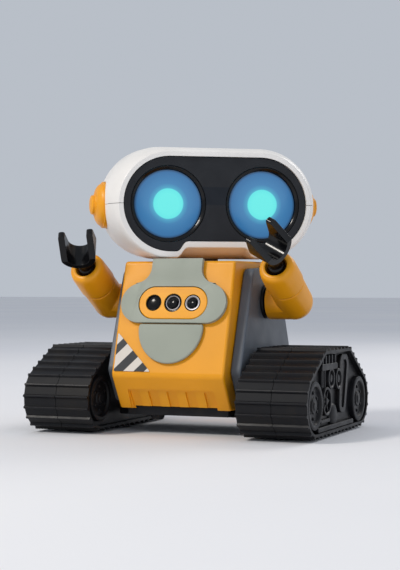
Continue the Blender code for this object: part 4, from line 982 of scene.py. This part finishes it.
def outer_relief(side):
    """Moulded wheels, rollers, link, bars, fan, dome and rail on a pod's outer face."""
    base = POD_OUTER_X - FACE_RECESS - 0.2
    top = POD_OUTER_X - 0.1
    parts = road_wheel(side, -46.5, 20.6, 14.2, POD_OUTER_X - FACE_RECESS)
    parts += road_wheel(side, 44.0, 18.6, 14.2, POD_OUTER_X - FACE_RECESS)
    for y, z in ((-14.5, 34.6), (0.5, 33.6)):
        at = face_frame(side, y, z, base)
        roller = ((0, 0), (6.4, 0), (6.4, 2.7), (6.1, 3.1), (5.0, 3.1), (4.6, 2.7), (4.4, 1.5),
                  (2.6, 1.4), (2.3, 2.6), (1.9, 2.8), (0, 2.8))
        parts.append(turned("roller", roller, at))
    link = rounded(((5.0, 47.8, 6.5), (2.5, 12.5, 6.0), (16.0, 12.5, 6.0), (25.0, 47.8, 6.5)))
    parts.append(raised(side, link, base, top - 0.9))
    groove = rounded(((9.0, 44.5, 3.6), (6.6, 15.5, 3.2), (12.5, 15.5, 3.2), (20.0, 44.5, 3.6)))
    cut(parts[-1], side_slab("groove", groove, side, top - 1.9, top + 1))
    bar = rounded(((-33.0, 43.6, 1.6), (-37.0, 39.8, 1.6),
                   (-3.0, 39.8, 1.6), (-3.0, 43.6, 1.6)), 15)
    parts.append(raised(side, bar, base, top))
    for index in range(5):
        y = -31.0 + index * 6.2
        parts.append(raised(side, plank(y - 1.1, 43.0, y + 1.1, 48.6), base, top - 0.5))
    for y in (-30.2, -27.0, -23.8):
        parts.append(raised(side, plank(y - 0.8, 29.5, y + 0.8, 40.2), base, top - 1.4, 0.4))
    fan = face_frame(side, -22.0, 21.5, base)
    rim = ((8.5, 0), (8.5, 2.4), (8.2, 2.8), (7.2, 2.8), (6.8, 2.4), (6.8, 0))
    parts.append(turned("fan_rim", rim, fan))
    parts.append(turned("fan_hub", ((0, 0), (2.2, 0), (2.2, 2.2), (1.7, 2.6), (0, 2.7)), fan, 32))
    for index in range(6):
        angle = math.tau * index / 6
        blade = block("blade", (5.2, 1.2, 1.9), (4.4, 0, 1.0), fan @ Matrix.Rotation(angle, 4, "Z"))
        parts.append(bevel(blade, 0.3, 2))
    dome = [(7.4 * math.cos(math.radians(a)), 0.6 + 2.4 * math.sin(math.radians(a)))
            for a in range(0, 90, 10)] + [(0, 3.0)]
    parts.append(turned("dome", [(0, 0), (7.4, 0)] + dome, face_frame(side, -6.5, 12.0, base)))
    parts.append(raised(side, plank(-42.0, 4.6, 30.0, 7.4, 1.0), base, top))
    parts.append(raised(side, plank(-33.0, 9.0, -15.0, 11.2), base, top - 1.2))
    return parts


def pods(side, word):
    """Both halves of one track pod."""
    outer = pod_half("pod_outer_look_" + word, side, POD_SEAM_X + GAP / 2, POD_OUTER_X, POD_OUTER_X)
    for y, radius in HIDDEN_WHEELS:
        length = 2 * math.sqrt(radius ** 2 - (radius - WHEEL_SLOT_LEVEL) ** 2) + 2.0
        cut(outer, block("slot", (WHEEL_SLOT_WIDTH, length, 12), (side * 80, y, 0.5)))
    show(join(outer, outer_relief(side)), "pod_outer_shell_" + word, BLACK)

    inner = pod_half("pod_inner_look_" + word, side, POD_INNER_X, POD_SEAM_X - GAP / 2, POD_INNER_X)
    relief = []
    for y, z in ((-44.0, 21.0), (44.5, 19.5)):
        relief += road_wheel(-side, y, z, 14.0, -(POD_INNER_X + FACE_RECESS))
    show(join(inner, relief), "pod_inner_shell_" + word, BLACK)


# ---------------------------------------------------------------- CAD nodes that stay

def dress():
    """Give every CAD node that is still shown its procedural material."""
    looks = {
        "yellow_plastic": YELLOW, "grey_plastic": GREY, "chest_plastic": CHEST,
        "white_plastic": WHITE, "black_plastic": BLACK, "gloss_black_plastic": GLOSS,
        "eye_lens": EYES, "silver_ring": SILVER, "decal_film": FILM, "board": BOARD,
        "cell_wrap": WRAP, "tyre": RUBBER, "steel": STEEL, "gear_plastic": IVORY,
    }
    for node, obj in frame["nodes"].items():
        look = looks[SLOT_OF[node]]
        if not obj.material_slots:
            obj.data.materials.append(look)
        for place in obj.material_slots:
            place.material = look


# ---------------------------------------------------------------- floor, light and camera

def area_light(name, location, target, size, energy, colour):
    data = bpy.data.lights.new(name, "AREA")
    data.shape = "DISK"
    data.size = size
    data.energy = energy
    data.color = colour
    light = bpy.data.objects.new(name, data)
    bpy.context.scene.collection.objects.link(light)
    light.location = location
    light.rotation_euler = (Vector(target) - Vector(location)).to_track_quat("-Z", "Y").to_euler()


def stage():
    """Pale floor, even background and three soft lights."""
    bm = bmesh.new()
    bmesh.ops.create_grid(bm, x_segments=1, y_segments=1, size=12.0)
    mesh = bpy.data.meshes.new("floor")
    bm.to_mesh(mesh)
    bm.free()
    floor = bpy.data.objects.new("floor", mesh)
    bpy.context.scene.collection.objects.link(floor)
    made, nodes, links = new_material("floor_look")
    place = nodes.new("ShaderNodeTexCoord")
    shade = remap(nodes, links, noise(nodes, links, place, 1.5), 0.3, 0.7, 0.0, 1.0)
    tone = mixed(nodes, links, shade, srgb(226, 226, 230), srgb(234, 233, 234))
    links.new(tone, nodes["Principled BSDF"].inputs["Base Color"])
    nodes["Principled BSDF"].inputs["Roughness"].default_value = 0.85
    mesh.materials.append(made)
    world = bpy.data.worlds.new("studio")
    bpy.context.scene.world = world
    world.use_nodes = True
    background = world.node_tree.nodes["Background"]
    background.inputs["Color"].default_value = (0.78, 0.84, 0.93, 1)
    background.inputs["Strength"].default_value = 0.62
    bpy.context.scene.view_settings.view_transform = "Standard"
    middle = (0, 0, 0.09)
    area_light("key", (-0.75, -1.05, 1.15), middle, 0.35, 14.0, (1.0, 0.95, 0.88))
    area_light("fill", (1.2, -1.1, 0.5), middle, 1.0, 3.0, (0.85, 0.92, 1.0))
    area_light("rim", (0.5, 1.1, 0.9), middle, 0.7, 6.0, (1.0, 0.96, 0.92))


def camera():
    """Camera at the photo's viewing angle."""
    data = bpy.data.cameras.new("camera")
    data.lens = 90.75
    data.sensor_width = 36.0
    made = bpy.data.objects.new("camera", data)
    bpy.context.scene.collection.objects.link(made)
    made.location = (0.3352, -0.8293, 0.0877)
    made.rotation_euler = (math.radians(90.13), 0, math.radians(22.04))
    bpy.context.scene.camera = made


front_shell()
rear_cover()
chest()
decal()
head()
for pod_side, pod_word in SIDES:
    side_panel(pod_side, pod_word)
    arm(pod_side, pod_word)
    pods(pod_side, pod_word)
dress()
stage()
camera()
